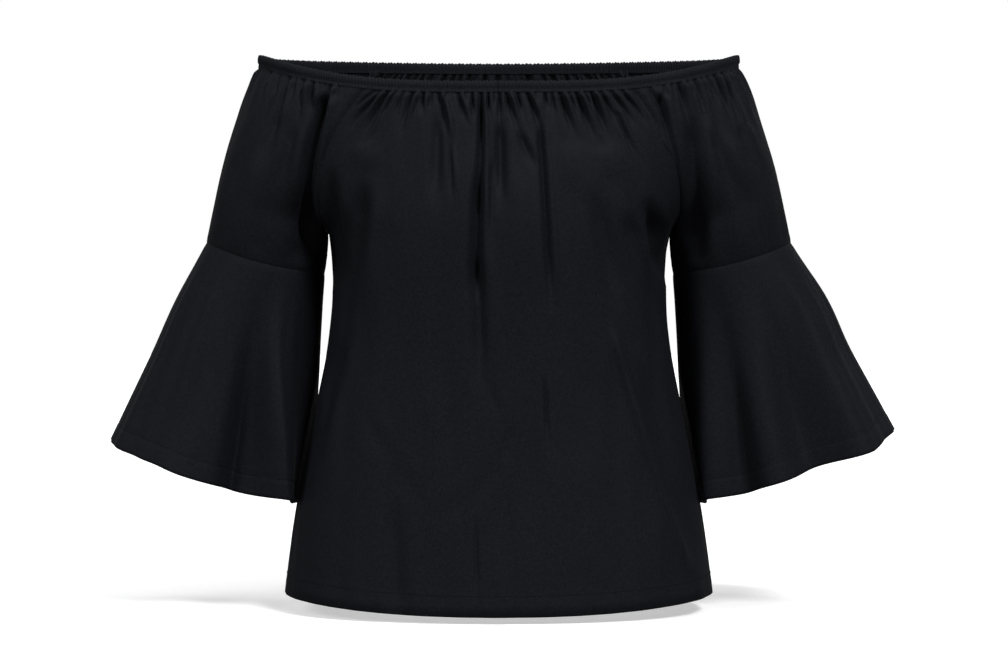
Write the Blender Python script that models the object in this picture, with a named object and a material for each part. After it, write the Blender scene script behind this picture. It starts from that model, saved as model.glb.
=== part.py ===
# Off-the-shoulder blouse with raglan sleeves and bell flounces, filled out as it is worn and empty.
# Metres, +Z up, +X is the wearer's left and -Y the front. The origin is the middle of the neckline.
# Every cloth piece is a sheet of points from the tables below, thickened by a Solidify modifier.

import math

import bpy
import numpy as np


def table(names, *rows):
    """Named columns from rows of numbers. The first column says where each row stands."""
    return dict(zip(names.split(), np.array(rows, dtype=float).T))


# Cloth
WALL = 0.0012            # thickness of the cloth
SEAM_GAP = 0.0003        # between two pieces at a seam

# Neckline ring, an ellipse with a deeper front
RING_HALF_WIDTH = 0.2195
RING_FRONT = 0.105
RING_BACK = 0.095
RING_FRONT_Z = -0.021    # top edge at the centre front
RING_BACK_Z = 0.0165     # top edge at the centre back
RING_SIDE_Z = 0.0125     # top edge over the arms

# Elastic neckband
BAND_HEIGHT = 0.0105     # at the centre front and back
BAND_SIDE_EXTRA = 0.0015
BAND_HALF_WALL = 0.0013
BAND_RIBS = 90
RIB_DEPTH = 0.0004
# Corners of the band's cross-section: out, as a share of the half wall, and up, of the height
BAND_SECTION = table(
    "out up rib",
    (1.0, 0.14, 1.0),
    (1.0, 0.86, 1.0),
    (0.5, 1.00, 0.5),
    (-0.5, 1.00, 0.0),
    (-1.0, 0.86, 0.0),
    (-1.0, 0.14, 0.0),
    (-0.5, 0.00, 0.0),
    (0.5, 0.00, 0.5),
)

# Sleeve sections down to the armpit (1) and on to the flounce seam (2). A section is an arc round
# a centre that leaves the body's middle (pull 0) for the arm's (pull 1). inner is the raglan seam.
SLEEVE = table(
    "down inner_x front_z back_z outer_x outer_z pull front back middle_y apart dip",
    (0.00, 0.1200, -0.0265, 0.0052, 0.2200, 0.0000, 0.00, 0.105, 0.095, 0.000, 0.0002, 0.000),
    (0.15, 0.1330, -0.0450, -0.0170, 0.2310, -0.0220, 0.25, 0.098, 0.090, 0.000, 0.0003, 0.000),
    (0.30, 0.1450, -0.0640, -0.0410, 0.2385, -0.0410, 0.50, 0.090, 0.086, 0.000, 0.0004, 0.000),
    (0.50, 0.1560, -0.0890, -0.0730, 0.2475, -0.0680, 0.72, 0.079, 0.084, 0.000, 0.0005, 0.000),
    (0.70, 0.1620, -0.1140, -0.1040, 0.2540, -0.0920, 0.86, 0.069, 0.076, 0.000, 0.0006, 0.000),
    (0.85, 0.1635, -0.1340, -0.1300, 0.2580, -0.1100, 0.95, 0.062, 0.068, 0.000, 0.0008, 0.000),
    (1.00, 0.1565, -0.1518, -0.1518, 0.2607, -0.1233, 1.00, 0.057, 0.060, 0.000, 0.0009, 0.001),
    (2.00, 0.1600, -0.1868, -0.1868, 0.2690, -0.1582, 1.00, 0.054, 0.055, 0.006, 0.0009, 0.006),
)
ARMPIT_Z = -0.1518

# How far a row of the front or back turns towards the side before it meets the raglan seam, the
# power its depth follows (below 1 it is boxier than an ellipse), and how much lower its centre is
PANEL_TURN = table(
    "down degrees power sag",
    (0.00, 33.1, 1.00, 0.0000),
    (0.15, 39.5, 1.00, 0.0060),
    (0.30, 45.0, 0.99, 0.0080),
    (0.50, 55.0, 0.96, 0.0110),
    (0.70, 64.0, 0.90, 0.0150),
    (0.85, 72.0, 0.80, 0.0180),
    (0.94, 80.0, 0.72, 0.0195),
    (1.00, 90.0, 0.65, 0.0200),
    (1.30, 90.0, 0.66, 0.0160),
    (2.00, 90.0, 0.84, 0.0101),
)

# Body sections by depth below the origin: half width at the side seams, depth at both centres
BODY = table(
    "below half_width front back",
    (-0.006, 0.2100, 0.1050, 0.0950),
    (0.032, 0.2000, 0.1050, 0.0985),
    (0.060, 0.1850, 0.1130, 0.1005),
    (0.100, 0.1650, 0.1200, 0.1020),
    (0.152, 0.1565, 0.1250, 0.1000),
    (0.175, 0.1540, 0.1250, 0.0970),
    (0.205, 0.1527, 0.1240, 0.0955),
    (0.244, 0.1546, 0.1220, 0.0945),
    (0.295, 0.1647, 0.1200, 0.0955),
    (0.345, 0.1748, 0.1200, 0.0995),
    (0.396, 0.1853, 0.1220, 0.1050),
    (0.440, 0.1920, 0.1240, 0.1100),
    (0.490, 0.1975, 0.1260, 0.1150),
)
HEM_SIDE_Z = -0.4784
SAG_POWER = 2.4          # how fast a row, such as the hem, drops from its ends to its centre

# Bell flounces, one row for each side: 1 is the wearer's left
FLOUNCE = {
    1: {"tip_x": 0.3664, "tip_z": -0.3312, "bump": 0.0045},
    -1: {"tip_x": 0.3595, "tip_z": -0.3404, "bump": 0.0018},
}
BUMP_END = 0.6           # share of the outer edge that bows out by the bump
FLOUNCE_INNER = table(
    "down x z",
    (0.00, 0.1600, -0.1868),
    (0.15, 0.1622, -0.2190),
    (0.35, 0.1648, -0.2620),
    (0.60, 0.1660, -0.3150),
    (1.00, 0.1680, -0.3990),
)
FLOUNCE_DEPTH = table(
    "down front back middle_y",
    (0.00, 0.054, 0.055, 0.006),
    (0.30, 0.061, 0.062, 0.012),
    (1.00, 0.078, 0.080, 0.024),
)
FLOUNCE_DIP = 0.006      # the seam and the hem hang lower between their outer and inner ends
FLOUNCE_DROP = 0.0007    # below the sleeve's edge, as the walls' corners turn towards each other
BODY_CLEARANCE = 0.0042  # between the middles of the flounce's wall and the body's
PUSH_SOFTNESS = 0.003
PUSH_START = 0.15        # share of the flounce's length over which the body starts to push it
FLARE_POWER = 1.1        # how fast the flares grow from the seam to the hem
# Flares round each flounce, degrees from its outer edge, the front ones below 0. Out is positive.
FLARES = {
    1: table(
        "at out half_width",
        (-134, 0.007, 13),
        (-116, -0.008, 10),
        (-97, 0.006, 12),
        (-77, -0.009, 12),
        (-54, 0.006, 16),
        (40, -0.006, 16),
        (72, 0.007, 16),
        (108, -0.007, 14),
        (140, 0.005, 14),
    ),
    -1: table(
        "at out half_width",
        (-150, -0.005, 12),
        (-124, 0.008, 12),
        (-105, -0.009, 9),
        (-80, 0.005, 18),
        (-40, 0.003, 18),
        (46, -0.006, 16),
        (78, 0.007, 15),
        (112, -0.007, 14),
        (142, 0.005, 14),
    ),
}

# Gathers under the neckband: how many, their half height, how far down they reach on average,
# and the two phases that make them uneven
GATHERS = {
    "front": {"count": 20, "size": 0.0019, "reach": 0.066, "phase": (0.6, 1.9)},
    "back": {"count": 20, "size": 0.0018, "reach": 0.060, "phase": (2.2, 0.3)},
    "sleeve_left": {"count": 14, "size": 0.0018, "reach": 0.056, "phase": (1.1, 2.7)},
    "sleeve_right": {"count": 14, "size": 0.0018, "reach": 0.056, "phase": (2.8, 0.9)},
}
COLUMNS_PER_GATHER = 3
# Slow waves across a piece that make its gathers uneven, by their rate and share
SHIFT_WAVES = ((5.3, 0.016), (13.1, 0.009))
REACH_WAVES = ((8.3, 0.35), (21.0, 0.20))
SIZE_WAVE = (9.7, 0.3)
GATHER_START = 0.45      # share of its size that a gather has at the band
GATHER_FULL = 0.012      # how far below the band it is deepest
EDGE_POWER = 10          # folds die out just before a piece's side edges

# Long soft folds, by their top and foot as seen from the front. Inward is negative.
FOLD_START = 0.15        # share of its length over which a fold begins
FOLD_FADE = 0.6          # share over which it ends
FOLDS = {
    "front": table(
        "top_x top_z foot_x foot_z out half_width",
        (-0.0172, -0.050, -0.0233, -0.300, -0.0060, 0.009),
        (-0.0007, -0.050, -0.0015, -0.150, -0.0030, 0.007),
        (-0.0485, -0.050, -0.0424, -0.150, -0.0030, 0.008),
        (0.0385, -0.045, 0.0450, -0.340, -0.0032, 0.009),
        (-0.1080, -0.110, -0.1330, -0.250, -0.0035, 0.014),
        (0.1000, -0.120, 0.1500, -0.300, -0.0035, 0.013),
        (0.0560, -0.210, 0.1700, -0.478, -0.0042, 0.014),
        (-0.1120, -0.310, -0.0600, -0.390, -0.0022, 0.008),
        (0.0160, -0.310, -0.0220, -0.390, -0.0022, 0.008),
        (-0.0990, -0.360, -0.0860, -0.486, -0.0024, 0.010),
        (0.0700, -0.080, 0.1080, -0.220, 0.0022, 0.018),
        (-0.0780, -0.080, -0.1060, -0.220, 0.0022, 0.018),
    ),
    "back": table(
        "top_x top_z foot_x foot_z out half_width",
        (0.0120, -0.030, 0.0160, -0.270, -0.0042, 0.009),
        (-0.0360, -0.030, -0.0480, -0.220, -0.0026, 0.008),
        (0.0550, -0.030, 0.0700, -0.330, -0.0028, 0.009),
        (-0.0900, -0.100, -0.1280, -0.290, -0.0030, 0.014),
        (0.1050, -0.120, 0.1350, -0.300, -0.0030, 0.014),
        (-0.0400, -0.240, -0.1300, -0.470, -0.0032, 0.014),
        (0.0100, -0.300, 0.0350, -0.480, -0.0026, 0.012),
    ),
    "sleeve_left": table(
        "top_x top_z foot_x foot_z out half_width",
        (0.1950, -0.030, 0.2220, -0.165, -0.0026, 0.010),
        (0.1720, -0.060, 0.1760, -0.180, 0.0022, 0.008),
    ),
    "sleeve_right": table(
        "top_x top_z foot_x foot_z out half_width",
        (0.1920, -0.030, 0.2180, -0.160, -0.0028, 0.010),
        (0.1700, -0.060, 0.1740, -0.180, 0.0022, 0.008),
    ),
}

# Rows of points: 0 at the neckband, 1 at the armpit, 2 at the hem or the flounce seam
PANEL_ROWS = (0, 0.05, 0.14, 0.26, 0.4, 0.56, 0.72, 0.85, 0.94, 1, 1.12, 1.27, 1.45, 1.65, 1.83, 2)
SLEEVE_ROWS = (0, 0.05, 0.14, 0.26, 0.4, 0.56, 0.72, 0.85, 0.94, 1, 1.5, 2)
SLEEVE_CALM = 0.5        # rows above the flounce seam over which a sleeve's folds die out
FLOUNCE_ROWS = (0, 0.12, 0.34, 0.58, 0.8, 1)
FLOUNCE_COLUMNS = 42

# Finish of the cloth
CLOTH_COLOUR = (0.0085, 0.0090, 0.0115, 1.0)
CLOTH_ROUGHNESS = 0.85


def row_slopes(places, values):
    """Slope at each row of a curve that never overshoots: the weighted harmonic mean of the steps
    beside it, or 0 where they differ in sign. An end row takes its only step's slope."""
    gaps = np.diff(places)
    steps = np.diff(values) / gaps
    slopes = np.concatenate([steps[:1], np.zeros(len(places) - 2), steps[-1:]])
    same = np.flatnonzero(steps[:-1] * steps[1:] > 0)
    before, after = gaps[same], gaps[same + 1]
    near, far = 2 * after + before, after + 2 * before
    slopes[same + 1] = (near + far) / (near / steps[same] + far / steps[same + 1])
    return slopes


def read(rows, name, at):
    """One column of a table at any places, on a cubic through its rows."""
    places = next(iter(rows.values()))
    values = rows[name]
    slopes = row_slopes(places, values)
    at = np.clip(at, places[0], places[-1])
    row = np.clip(np.searchsorted(places, at, side="right") - 1, 0, len(places) - 2)
    width = places[row + 1] - places[row]
    share = (at - places[row]) / width
    return (
        (1 + 2 * share) * (1 - share) ** 2 * values[row]
        + share * (1 - share) ** 2 * width * slopes[row]
        + share**2 * (3 - 2 * share) * values[row + 1]
        - share**2 * (1 - share) * width * slopes[row + 1]
    )


def ease(share):
    """0 below 0, 1 above 1 and a smooth S between."""
    share = np.clip(share, 0, 1)
    return share * share * (3 - 2 * share)


def ring_top(turn):
    """Height of the band's top edge: turn is 0 at the centre front and pi at the centre back.
    It climbs with the cube of the sine in front and falls with its fourth power behind."""
    side = np.abs(np.sin(turn))
    front = RING_FRONT_Z + (RING_SIDE_Z - RING_FRONT_Z) * side**3
    back = RING_BACK_Z + (RING_SIDE_Z - RING_BACK_Z) * side**4
    return np.where(np.cos(turn) > 0, front, back)


def band_height(turn):
    return BAND_HEIGHT + BAND_SIDE_EXTRA * np.sin(turn) ** 2


def ring_bottom(turn):
    """Height of the gathered cloth's top edge, a seam's gap below the band."""
    return ring_top(turn) - band_height(turn) - SEAM_GAP


def sleeve_arc(down, apart=0.0):
    """Centre, half width and end angle of the sleeve's arc in a row: the arc starts at the inner
    seam, so its end angle is the arc cosine of the seam's share of the half width."""
    inner = read(SLEEVE, "inner_x", down) + apart
    outer = read(SLEEVE, "outer_x", down)
    centre = read(SLEEVE, "pull", down) * (inner + outer) / 2
    half = outer - centre
    end = np.arccos(np.clip((inner - centre) / half, -1, 1))
    return centre, half, np.minimum(end, math.pi - SEAM_GAP / 2 / read(SLEEVE, "front", down))


def sleeve_surface(down, around):
    """The left sleeve without its folds. around runs from -1 at the front raglan seam, over the
    arm, to 1 at the back one. x and y follow the row's arc, and z falls from the outer edge to the
    seams with 1 - cos of the angle. The top row is then moved onto the neckline's bottom edge."""
    centre, half, end = sleeve_arc(down, read(SLEEVE, "apart", down))
    turn = around * end
    front = around < 0
    depth = np.where(front, read(SLEEVE, "front", down), read(SLEEVE, "back", down))
    seam_z = np.where(front, read(SLEEVE, "front_z", down), read(SLEEVE, "back_z", down))
    outer_z = read(SLEEVE, "outer_z", down)
    x = centre + half * np.cos(turn)
    y = read(SLEEVE, "middle_y", down) + depth * np.sin(turn)
    z = outer_z + (seam_z - outer_z) * (1 - np.cos(turn)) / (1 - np.cos(end))
    z -= read(SLEEVE, "dip", down) * np.sin(turn) ** 2

    top_end = sleeve_arc(0.0)[2]
    top_turn = around * top_end
    top_seam_z = np.where(front, SLEEVE["front_z"][0], SLEEVE["back_z"][0])
    top_outer_z = SLEEVE["outer_z"][0]
    plain = top_outer_z + (top_seam_z - top_outer_z) * (1 - np.cos(top_turn)) / (1 - math.cos(top_end))
    z += (ring_bottom(math.pi / 2 + top_turn) - plain) * np.clip(1 - down, 0, 1) ** 2
    return x, y, z


def raglan_seam(down, back):
    """Where the body meets the left sleeve in a row, from the neckline to the armpit."""
    centre, half, end = sleeve_arc(down)
    side = 1 if back else -1
    depth = read(SLEEVE, "back" if back else "front", down)
    y = side * np.maximum(depth * np.sin(end), SEAM_GAP / 2)
    top_turn = math.pi / 2 + side * sleeve_arc(0.0)[2]
    name = "back_z" if back else "front_z"
    z = read(SLEEVE, name, down)
    z = z + (ring_bottom(top_turn) - SLEEVE[name][0]) * np.clip(1 - down, 0, 1) ** 2
    return centre + half * np.cos(end), y, z


def panel_surface(down, across, back):
    """The front or back without its folds. across runs from -1 to 1 between the side seams. A row
    is part of a boxy ellipse: x is the sine and y a power of the cosine of across times the row's
    turn. z drops from its ends to its centre with a power of x."""
    side = 1 if back else -1
    top = np.clip(down, 0, 1)
    low = np.clip(down - 1, 0, 1)
    seam_x, seam_y, seam_z = raglan_seam(top, back)
    centre_ring = ring_bottom(math.pi if back else 0.0)
    seam_ring = raglan_seam(0.0, back)[2]
    edge_z = seam_z + low * (HEM_SIDE_Z - ARMPIT_Z)
    centre_z = edge_z + (centre_ring - seam_ring) * (1 - top) - read(PANEL_TURN, "sag", down)
    edge_x = np.where(low > 0, read(BODY, "half_width", -edge_z), seam_x)
    edge_x = edge_x - read(SLEEVE, "apart", top)
    edge_y = np.where(low > 0, side * SEAM_GAP / 2, seam_y)
    centre_y = side * read(BODY, "back" if back else "front", -centre_z)
    turn = np.radians(read(PANEL_TURN, "degrees", top))
    inward = np.clip((np.cos(across * turn) - np.cos(turn)) / (1 - np.cos(turn)), 0, 1)
    x = edge_x * np.sin(across * turn) / np.sin(turn)
    y = edge_y + (centre_y - edge_y) * inward ** read(PANEL_TURN, "power", down)
    z = centre_z + (edge_z - centre_z) * np.abs(x / edge_x) ** SAG_POWER
    plain = centre_ring + (seam_ring - centre_ring) * np.abs(x / edge_x) ** SAG_POWER
    ring_turn = (math.pi if back else 0.0) - side * across * np.radians(PANEL_TURN["degrees"][0])
    return x, y, z + (ring_bottom(ring_turn) - plain) * np.clip(1 - down, 0, 1) ** 2


def body_side(y, z):
    """How far out the flounce must stay at a depth and height: the body's own row, turned round to
    give x for y, and the clearance."""
    low = (ARMPIT_Z - z) / (ARMPIT_Z - HEM_SIDE_Z)
    depth = np.where(y < 0, read(BODY, "front", -z), read(BODY, "back", -z))
    share = np.clip(np.abs(y) / depth, 0, 1) ** (2 / read(PANEL_TURN, "power", 1 + low))
    return read(BODY, "half_width", -z) * np.sqrt(1 - share) + BODY_CLEARANCE


def flounce_surface(down, turn, side):
    """A flounce without its place on a side. Its rings run round an ellipse between an outer and
    an inner edge, flares are bell curves of the angle that grow downwards, and where it would
    reach the body it is pushed out to lie just clear of it."""
    shape = FLOUNCE[side]
    outer_x = SLEEVE["outer_x"][-1] + (shape["tip_x"] - SLEEVE["outer_x"][-1]) * down
    outer_x = outer_x + shape["bump"] * np.sin(math.pi * np.clip(down / BUMP_END, 0, 1)) ** 2
    outer_z = SLEEVE["outer_z"][-1] + (shape["tip_z"] - SLEEVE["outer_z"][-1]) * down
    inner_x = read(FLOUNCE_INNER, "x", down)
    inner_x = inner_x + SLEEVE["apart"][-1] * (1 - down)
    inner_z = read(FLOUNCE_INNER, "z", down)
    depth = np.where(turn < 0, read(FLOUNCE_DEPTH, "front", down), read(FLOUNCE_DEPTH, "back", down))

    flare = sum(
        out * np.exp(-(((np.degrees(turn) - at) / half_width) ** 2))
        for at, out, half_width in zip(*FLARES[side].values())
    )
    grown = 1 + flare * down**FLARE_POWER / depth
    x = (outer_x + inner_x) / 2 + (outer_x - inner_x) / 2 * np.cos(turn) * grown
    y = read(FLOUNCE_DEPTH, "middle_y", down) + depth * np.sin(turn) * grown
    z = (outer_z + inner_z) / 2 + (outer_z - inner_z) / 2 * np.cos(turn)
    z = z - FLOUNCE_DIP * np.sin(turn) ** 2

    pushed = (x + body_side(y, z) + np.hypot(x - body_side(y, z), PUSH_SOFTNESS)) / 2
    return x + (pushed - x) * ease(down / PUSH_START), y, z


def slow_waves(across, waves, phases):
    return sum(share * np.sin(rate * across + phase) for (rate, share), phase in zip(waves, phases))


def gathers(name, across, drop):
    """Cosine waves across a piece, bunched and spread by slower sines. Each starts shallow at the
    band, is deepest a little below it, and dies out at its own length."""
    rule = GATHERS[name]
    phases = rule["phase"]
    place = across + slow_waves(across, SHIFT_WAVES, phases)
    reach = rule["reach"] * (1 + slow_waves(across, REACH_WAVES, phases[::-1]))
    size = rule["size"] * (1 + slow_waves(across, (SIZE_WAVE,), phases))
    start = GATHER_START + (1 - GATHER_START) * ease(drop / GATHER_FULL)
    wave = np.cos(math.pi * rule["count"] * place)
    return size * wave * start * (1 - ease(drop / reach)) * side_calm(across)


def side_calm(across):
    return 1 - np.abs(across) ** EDGE_POWER


def long_folds(name, x, z):
    """Troughs and ridges along straight lines: a bell curve across each, and along it a quick
    start and a long fade."""
    out = np.zeros_like(x)
    for top_x, top_z, foot_x, foot_z, depth, half_width in zip(*FOLDS[name].values()):
        run_x, run_z = foot_x - top_x, foot_z - top_z
        length = math.hypot(run_x, run_z)
        along = ((x - top_x) * run_x + (z - top_z) * run_z) / length**2
        off = ((x - top_x) * run_z - (z - top_z) * run_x) / length
        fade = ease(along / FOLD_START) * ease((1 - along) / FOLD_FADE)
        out += depth * fade * np.exp(-((off / half_width) ** 2))
    return out


def outward(x, y, z, turned):
    """Unit normals of a grid of points from the steps to its neighbours."""
    points = np.stack([x, y, z], axis=-1)
    down, across = np.gradient(points, axis=0), np.gradient(points, axis=1)
    normal = np.cross(down, across) * (-1 if turned else 1)
    return normal / np.linalg.norm(normal, axis=-1, keepdims=True)


def cloth_material(name):
    material = bpy.data.materials.new(name)
    material.use_nodes = True
    shader = material.node_tree.nodes["Principled BSDF"]
    shader.inputs["Base Color"].default_value = CLOTH_COLOUR
    shader.inputs["Roughness"].default_value = CLOTH_ROUGHNESS
    shader.inputs["Metallic"].default_value = 0.0
    return material


def add_object(name, points, faces):
    mesh = bpy.data.meshes.new(name)
    mesh.from_pydata([tuple(point) for point in points.tolist()], [], faces)
    mesh.validate()
    mesh.shade_smooth()
    mesh.materials.append(cloth_material(name + "_cloth"))
    piece = bpy.data.objects.new(name, mesh)
    bpy.context.collection.objects.link(piece)
    return piece


def grid_faces(rows, columns, closed, turned):
    """Quads of a grid whose faces point out. A closed one joins its last column to its first."""
    spans = columns if closed else columns - 1
    faces = []
    for row in range(rows - 1):
        for column in range(spans):
            following = (column + 1) % columns
            quad = (
                row * columns + column,
                (row + 1) * columns + column,
                (row + 1) * columns + following,
                row * columns + following,
            )
            faces.append(quad[::-1] if turned else quad)
    return faces


def add_cloth(name, points, closed, turned):
    """A sheet with the cloth's thickness, half of it to each side of the points."""
    rows, columns = points.shape[:2]
    piece = add_object(name, points.reshape(-1, 3), grid_faces(rows, columns, closed, turned))
    wall = piece.modifiers.new("wall", "SOLIDIFY")
    wall.thickness = WALL
    wall.offset = 0.0
    wall.use_even_offset = True
    return piece


def add_panel(name, back):
    """Front or back: its form, with its gathers and long folds moved out along the normals."""
    columns = GATHERS[name]["count"] * COLUMNS_PER_GATHER + 1
    down, across = np.meshgrid(PANEL_ROWS, np.linspace(-1, 1, columns), indexing="ij")
    x, y, z = panel_surface(down, across, back)
    drop = z[:1] - z
    out = gathers(name, across, drop) + long_folds(name, x, z) * side_calm(across)
    points = np.stack([x, y, z], axis=-1) + out[..., None] * outward(x, y, z, back)
    add_cloth(name, points, closed=False, turned=back)


def add_sleeve(name, side):
    columns = GATHERS[name]["count"] * COLUMNS_PER_GATHER + 1
    down, around = np.meshgrid(SLEEVE_ROWS, np.linspace(-1, 1, columns), indexing="ij")
    x, y, z = sleeve_surface(down, around)
    drop = z[:1] - z
    calm = side_calm(around) * ease((2 - down) / SLEEVE_CALM)
    out = gathers(name, around, drop) + long_folds(name, x, z) * calm
    points = np.stack([x, y, z], axis=-1) + out[..., None] * outward(x, y, z, False)
    points[..., 0] *= side
    add_cloth(name, points, closed=False, turned=side < 0)


def add_flounce(name, side):
    """The flounce's top row starts just below the sleeve's last row."""
    turns = np.linspace(-math.pi, math.pi, FLOUNCE_COLUMNS, endpoint=False)
    down, turn = np.meshgrid(FLOUNCE_ROWS, turns, indexing="ij")
    x, y, z = flounce_surface(down, turn, side)
    z[0] -= FLOUNCE_DROP
    points = np.stack([x * side, y, z], axis=-1)
    add_cloth(name, points, closed=True, turned=side < 0)


def add_neckband(name):
    """The band's section carried round the ring, its outer corners stepping out and in for ribs."""
    columns = BAND_RIBS * 2
    turn = np.linspace(0, 2 * math.pi, columns, endpoint=False)[:, None]
    depth = np.where(np.cos(turn) > 0, RING_FRONT, RING_BACK)
    out_x, out_y = depth * np.sin(turn), -RING_HALF_WIDTH * np.cos(turn)
    size = np.hypot(out_x, out_y)
    rib = RIB_DEPTH * np.cos(math.pi * np.arange(columns))[:, None] * BAND_SECTION["rib"]
    out = BAND_SECTION["out"] * BAND_HALF_WALL + rib
    x = RING_HALF_WIDTH * np.sin(turn) + out * out_x / size
    y = -depth * np.cos(turn) + out * out_y / size
    z = ring_top(turn) - band_height(turn) * (1 - BAND_SECTION["up"])
    points = np.stack([x, y, z], axis=-1)
    corners = points.shape[1]
    faces = []
    for column in range(columns):
        for corner in range(corners):
            near, far = column * corners, (column + 1) % columns * corners
            following = (corner + 1) % corners
            faces.append((near + corner, far + corner, far + following, near + following))
    add_object(name, points.reshape(-1, 3), faces)


def main():
    for old in list(bpy.data.objects):
        bpy.data.objects.remove(old, do_unlink=True)
    add_neckband("neckband")
    add_panel("front", back=False)
    add_panel("back", back=True)
    for side, word in ((1, "left"), (-1, "right")):
        add_sleeve(f"sleeve_{word}", side)
        add_flounce(f"flounce_{word}", side)


main()
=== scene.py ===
# Black off-the-shoulder blouse with a gathered elastic neckline and bell flounces, filled out as worn.
# Metres, +Z up, +X is the wearer's left and -Y the front. The origin is the middle of the neckline.

import math

import bpy
import numpy as np
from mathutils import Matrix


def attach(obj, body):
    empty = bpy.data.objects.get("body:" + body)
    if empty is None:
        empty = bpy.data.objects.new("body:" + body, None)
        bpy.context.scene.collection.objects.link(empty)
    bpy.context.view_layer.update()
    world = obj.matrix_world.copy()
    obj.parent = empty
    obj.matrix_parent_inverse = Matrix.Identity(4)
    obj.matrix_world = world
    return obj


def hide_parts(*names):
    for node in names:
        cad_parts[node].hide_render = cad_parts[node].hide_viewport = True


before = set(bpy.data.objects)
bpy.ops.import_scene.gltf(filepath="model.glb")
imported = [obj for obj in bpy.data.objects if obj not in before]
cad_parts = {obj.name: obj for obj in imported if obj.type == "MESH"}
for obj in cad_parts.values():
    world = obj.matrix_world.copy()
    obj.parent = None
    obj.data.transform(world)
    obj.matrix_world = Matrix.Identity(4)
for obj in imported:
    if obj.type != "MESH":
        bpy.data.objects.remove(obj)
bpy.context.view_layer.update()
print("frame loaded")


# Tables

def table(names, *rows):
    # Named columns from rows of numbers, the first column saying where each row stands
    return dict(zip(names.split(), np.array(rows, dtype=float).T))


def rowSlopes(places, values):
    # Slope at each row of a curve that never overshoots: the weighted harmonic mean of the two
    # steps beside it, 0 where they differ in sign, and an end row's only step
    gaps = np.diff(places)
    steps = np.diff(values) / gaps
    slopes = np.concatenate([steps[:1], np.zeros(len(places) - 2), steps[-1:]])
    same = np.flatnonzero(steps[:-1] * steps[1:] > 0)
    before, after = gaps[same], gaps[same + 1]
    near, far = 2 * after + before, after + 2 * before
    slopes[same + 1] = (near + far) / (near / steps[same] + far / steps[same + 1])
    return slopes


def read(rows, name, at):
    # One column of a table at any places: the cubic through its rows with the slopes above
    places = next(iter(rows.values()))
    values = rows[name]
    slopes = rowSlopes(places, values)
    at = np.clip(at, places[0], places[-1])
    row = np.clip(np.searchsorted(places, at, side="right") - 1, 0, len(places) - 2)
    width = places[row + 1] - places[row]
    share = (at - places[row]) / width
    return (
        (1 + 2 * share) * (1 - share) ** 2 * values[row]
        + share * (1 - share) ** 2 * width * slopes[row]
        + share**2 * (3 - 2 * share) * values[row + 1]
        - share**2 * (1 - share) * width * slopes[row + 1]
    )


def ease(share):
    # 0 below 0, 1 above 1 and a smooth S between
    share = np.clip(share, 0, 1)
    return share * share * (3 - 2 * share)


# Form of the garment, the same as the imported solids

seamGap = 0.0003  # between two cut pieces

neckline = {
    "halfWidth": 0.2195,
    "front": 0.105,
    "back": 0.095,
    "frontZ": -0.021,
    "backZ": 0.0165,
    "sideZ": 0.0125,
    "bandHeight": 0.0105,
    "bandSideExtra": 0.0015,
}

sleeveRows = table(
    "down innerX frontZ backZ outerX outerZ pull front back middleY apart dip",
    (0.00, 0.1200, -0.0265, 0.0052, 0.2200, 0.0000, 0.00, 0.105, 0.095, 0.000, 0.0002, 0.000),
    (0.15, 0.1330, -0.0450, -0.0170, 0.2310, -0.0220, 0.25, 0.098, 0.090, 0.000, 0.0003, 0.000),
    (0.30, 0.1450, -0.0640, -0.0410, 0.2385, -0.0410, 0.50, 0.090, 0.086, 0.000, 0.0004, 0.000),
    (0.50, 0.1560, -0.0890, -0.0730, 0.2475, -0.0680, 0.72, 0.079, 0.084, 0.000, 0.0005, 0.000),
    (0.70, 0.1620, -0.1140, -0.1040, 0.2540, -0.0920, 0.86, 0.069, 0.076, 0.000, 0.0006, 0.000),
    (0.85, 0.1635, -0.1340, -0.1300, 0.2580, -0.1100, 0.95, 0.062, 0.068, 0.000, 0.0008, 0.000),
    (1.00, 0.1565, -0.1518, -0.1518, 0.2607, -0.1233, 1.00, 0.057, 0.060, 0.000, 0.0009, 0.001),
    (2.00, 0.1600, -0.1868, -0.1868, 0.2690, -0.1582, 1.00, 0.054, 0.055, 0.006, 0.0009, 0.006),
)

panelRows = table(
    "down degrees power sag",
    (0.00, 33.1, 1.00, 0.0000),
    (0.15, 39.5, 1.00, 0.0060),
    (0.30, 45.0, 0.99, 0.0080),
    (0.50, 55.0, 0.96, 0.0110),
    (0.70, 64.0, 0.90, 0.0150),
    (0.85, 72.0, 0.80, 0.0180),
    (0.94, 80.0, 0.72, 0.0195),
    (1.00, 90.0, 0.65, 0.0200),
    (1.30, 90.0, 0.66, 0.0160),
    (2.00, 90.0, 0.84, 0.0101),
)

bodyRows = table(
    "below halfWidth front back",
    (-0.006, 0.2100, 0.1050, 0.0950),
    (0.032, 0.2000, 0.1050, 0.0985),
    (0.060, 0.1850, 0.1130, 0.1005),
    (0.100, 0.1650, 0.1200, 0.1020),
    (0.152, 0.1565, 0.1250, 0.1000),
    (0.175, 0.1540, 0.1250, 0.0970),
    (0.205, 0.1527, 0.1240, 0.0955),
    (0.244, 0.1546, 0.1220, 0.0945),
    (0.295, 0.1647, 0.1200, 0.0955),
    (0.345, 0.1748, 0.1200, 0.0995),
    (0.396, 0.1853, 0.1220, 0.1050),
    (0.440, 0.1920, 0.1240, 0.1100),
    (0.490, 0.1975, 0.1260, 0.1150),
)

bodyForm = {"armpitZ": -0.1518, "hemSideZ": -0.4784, "sagPower": 2.4}

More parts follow.
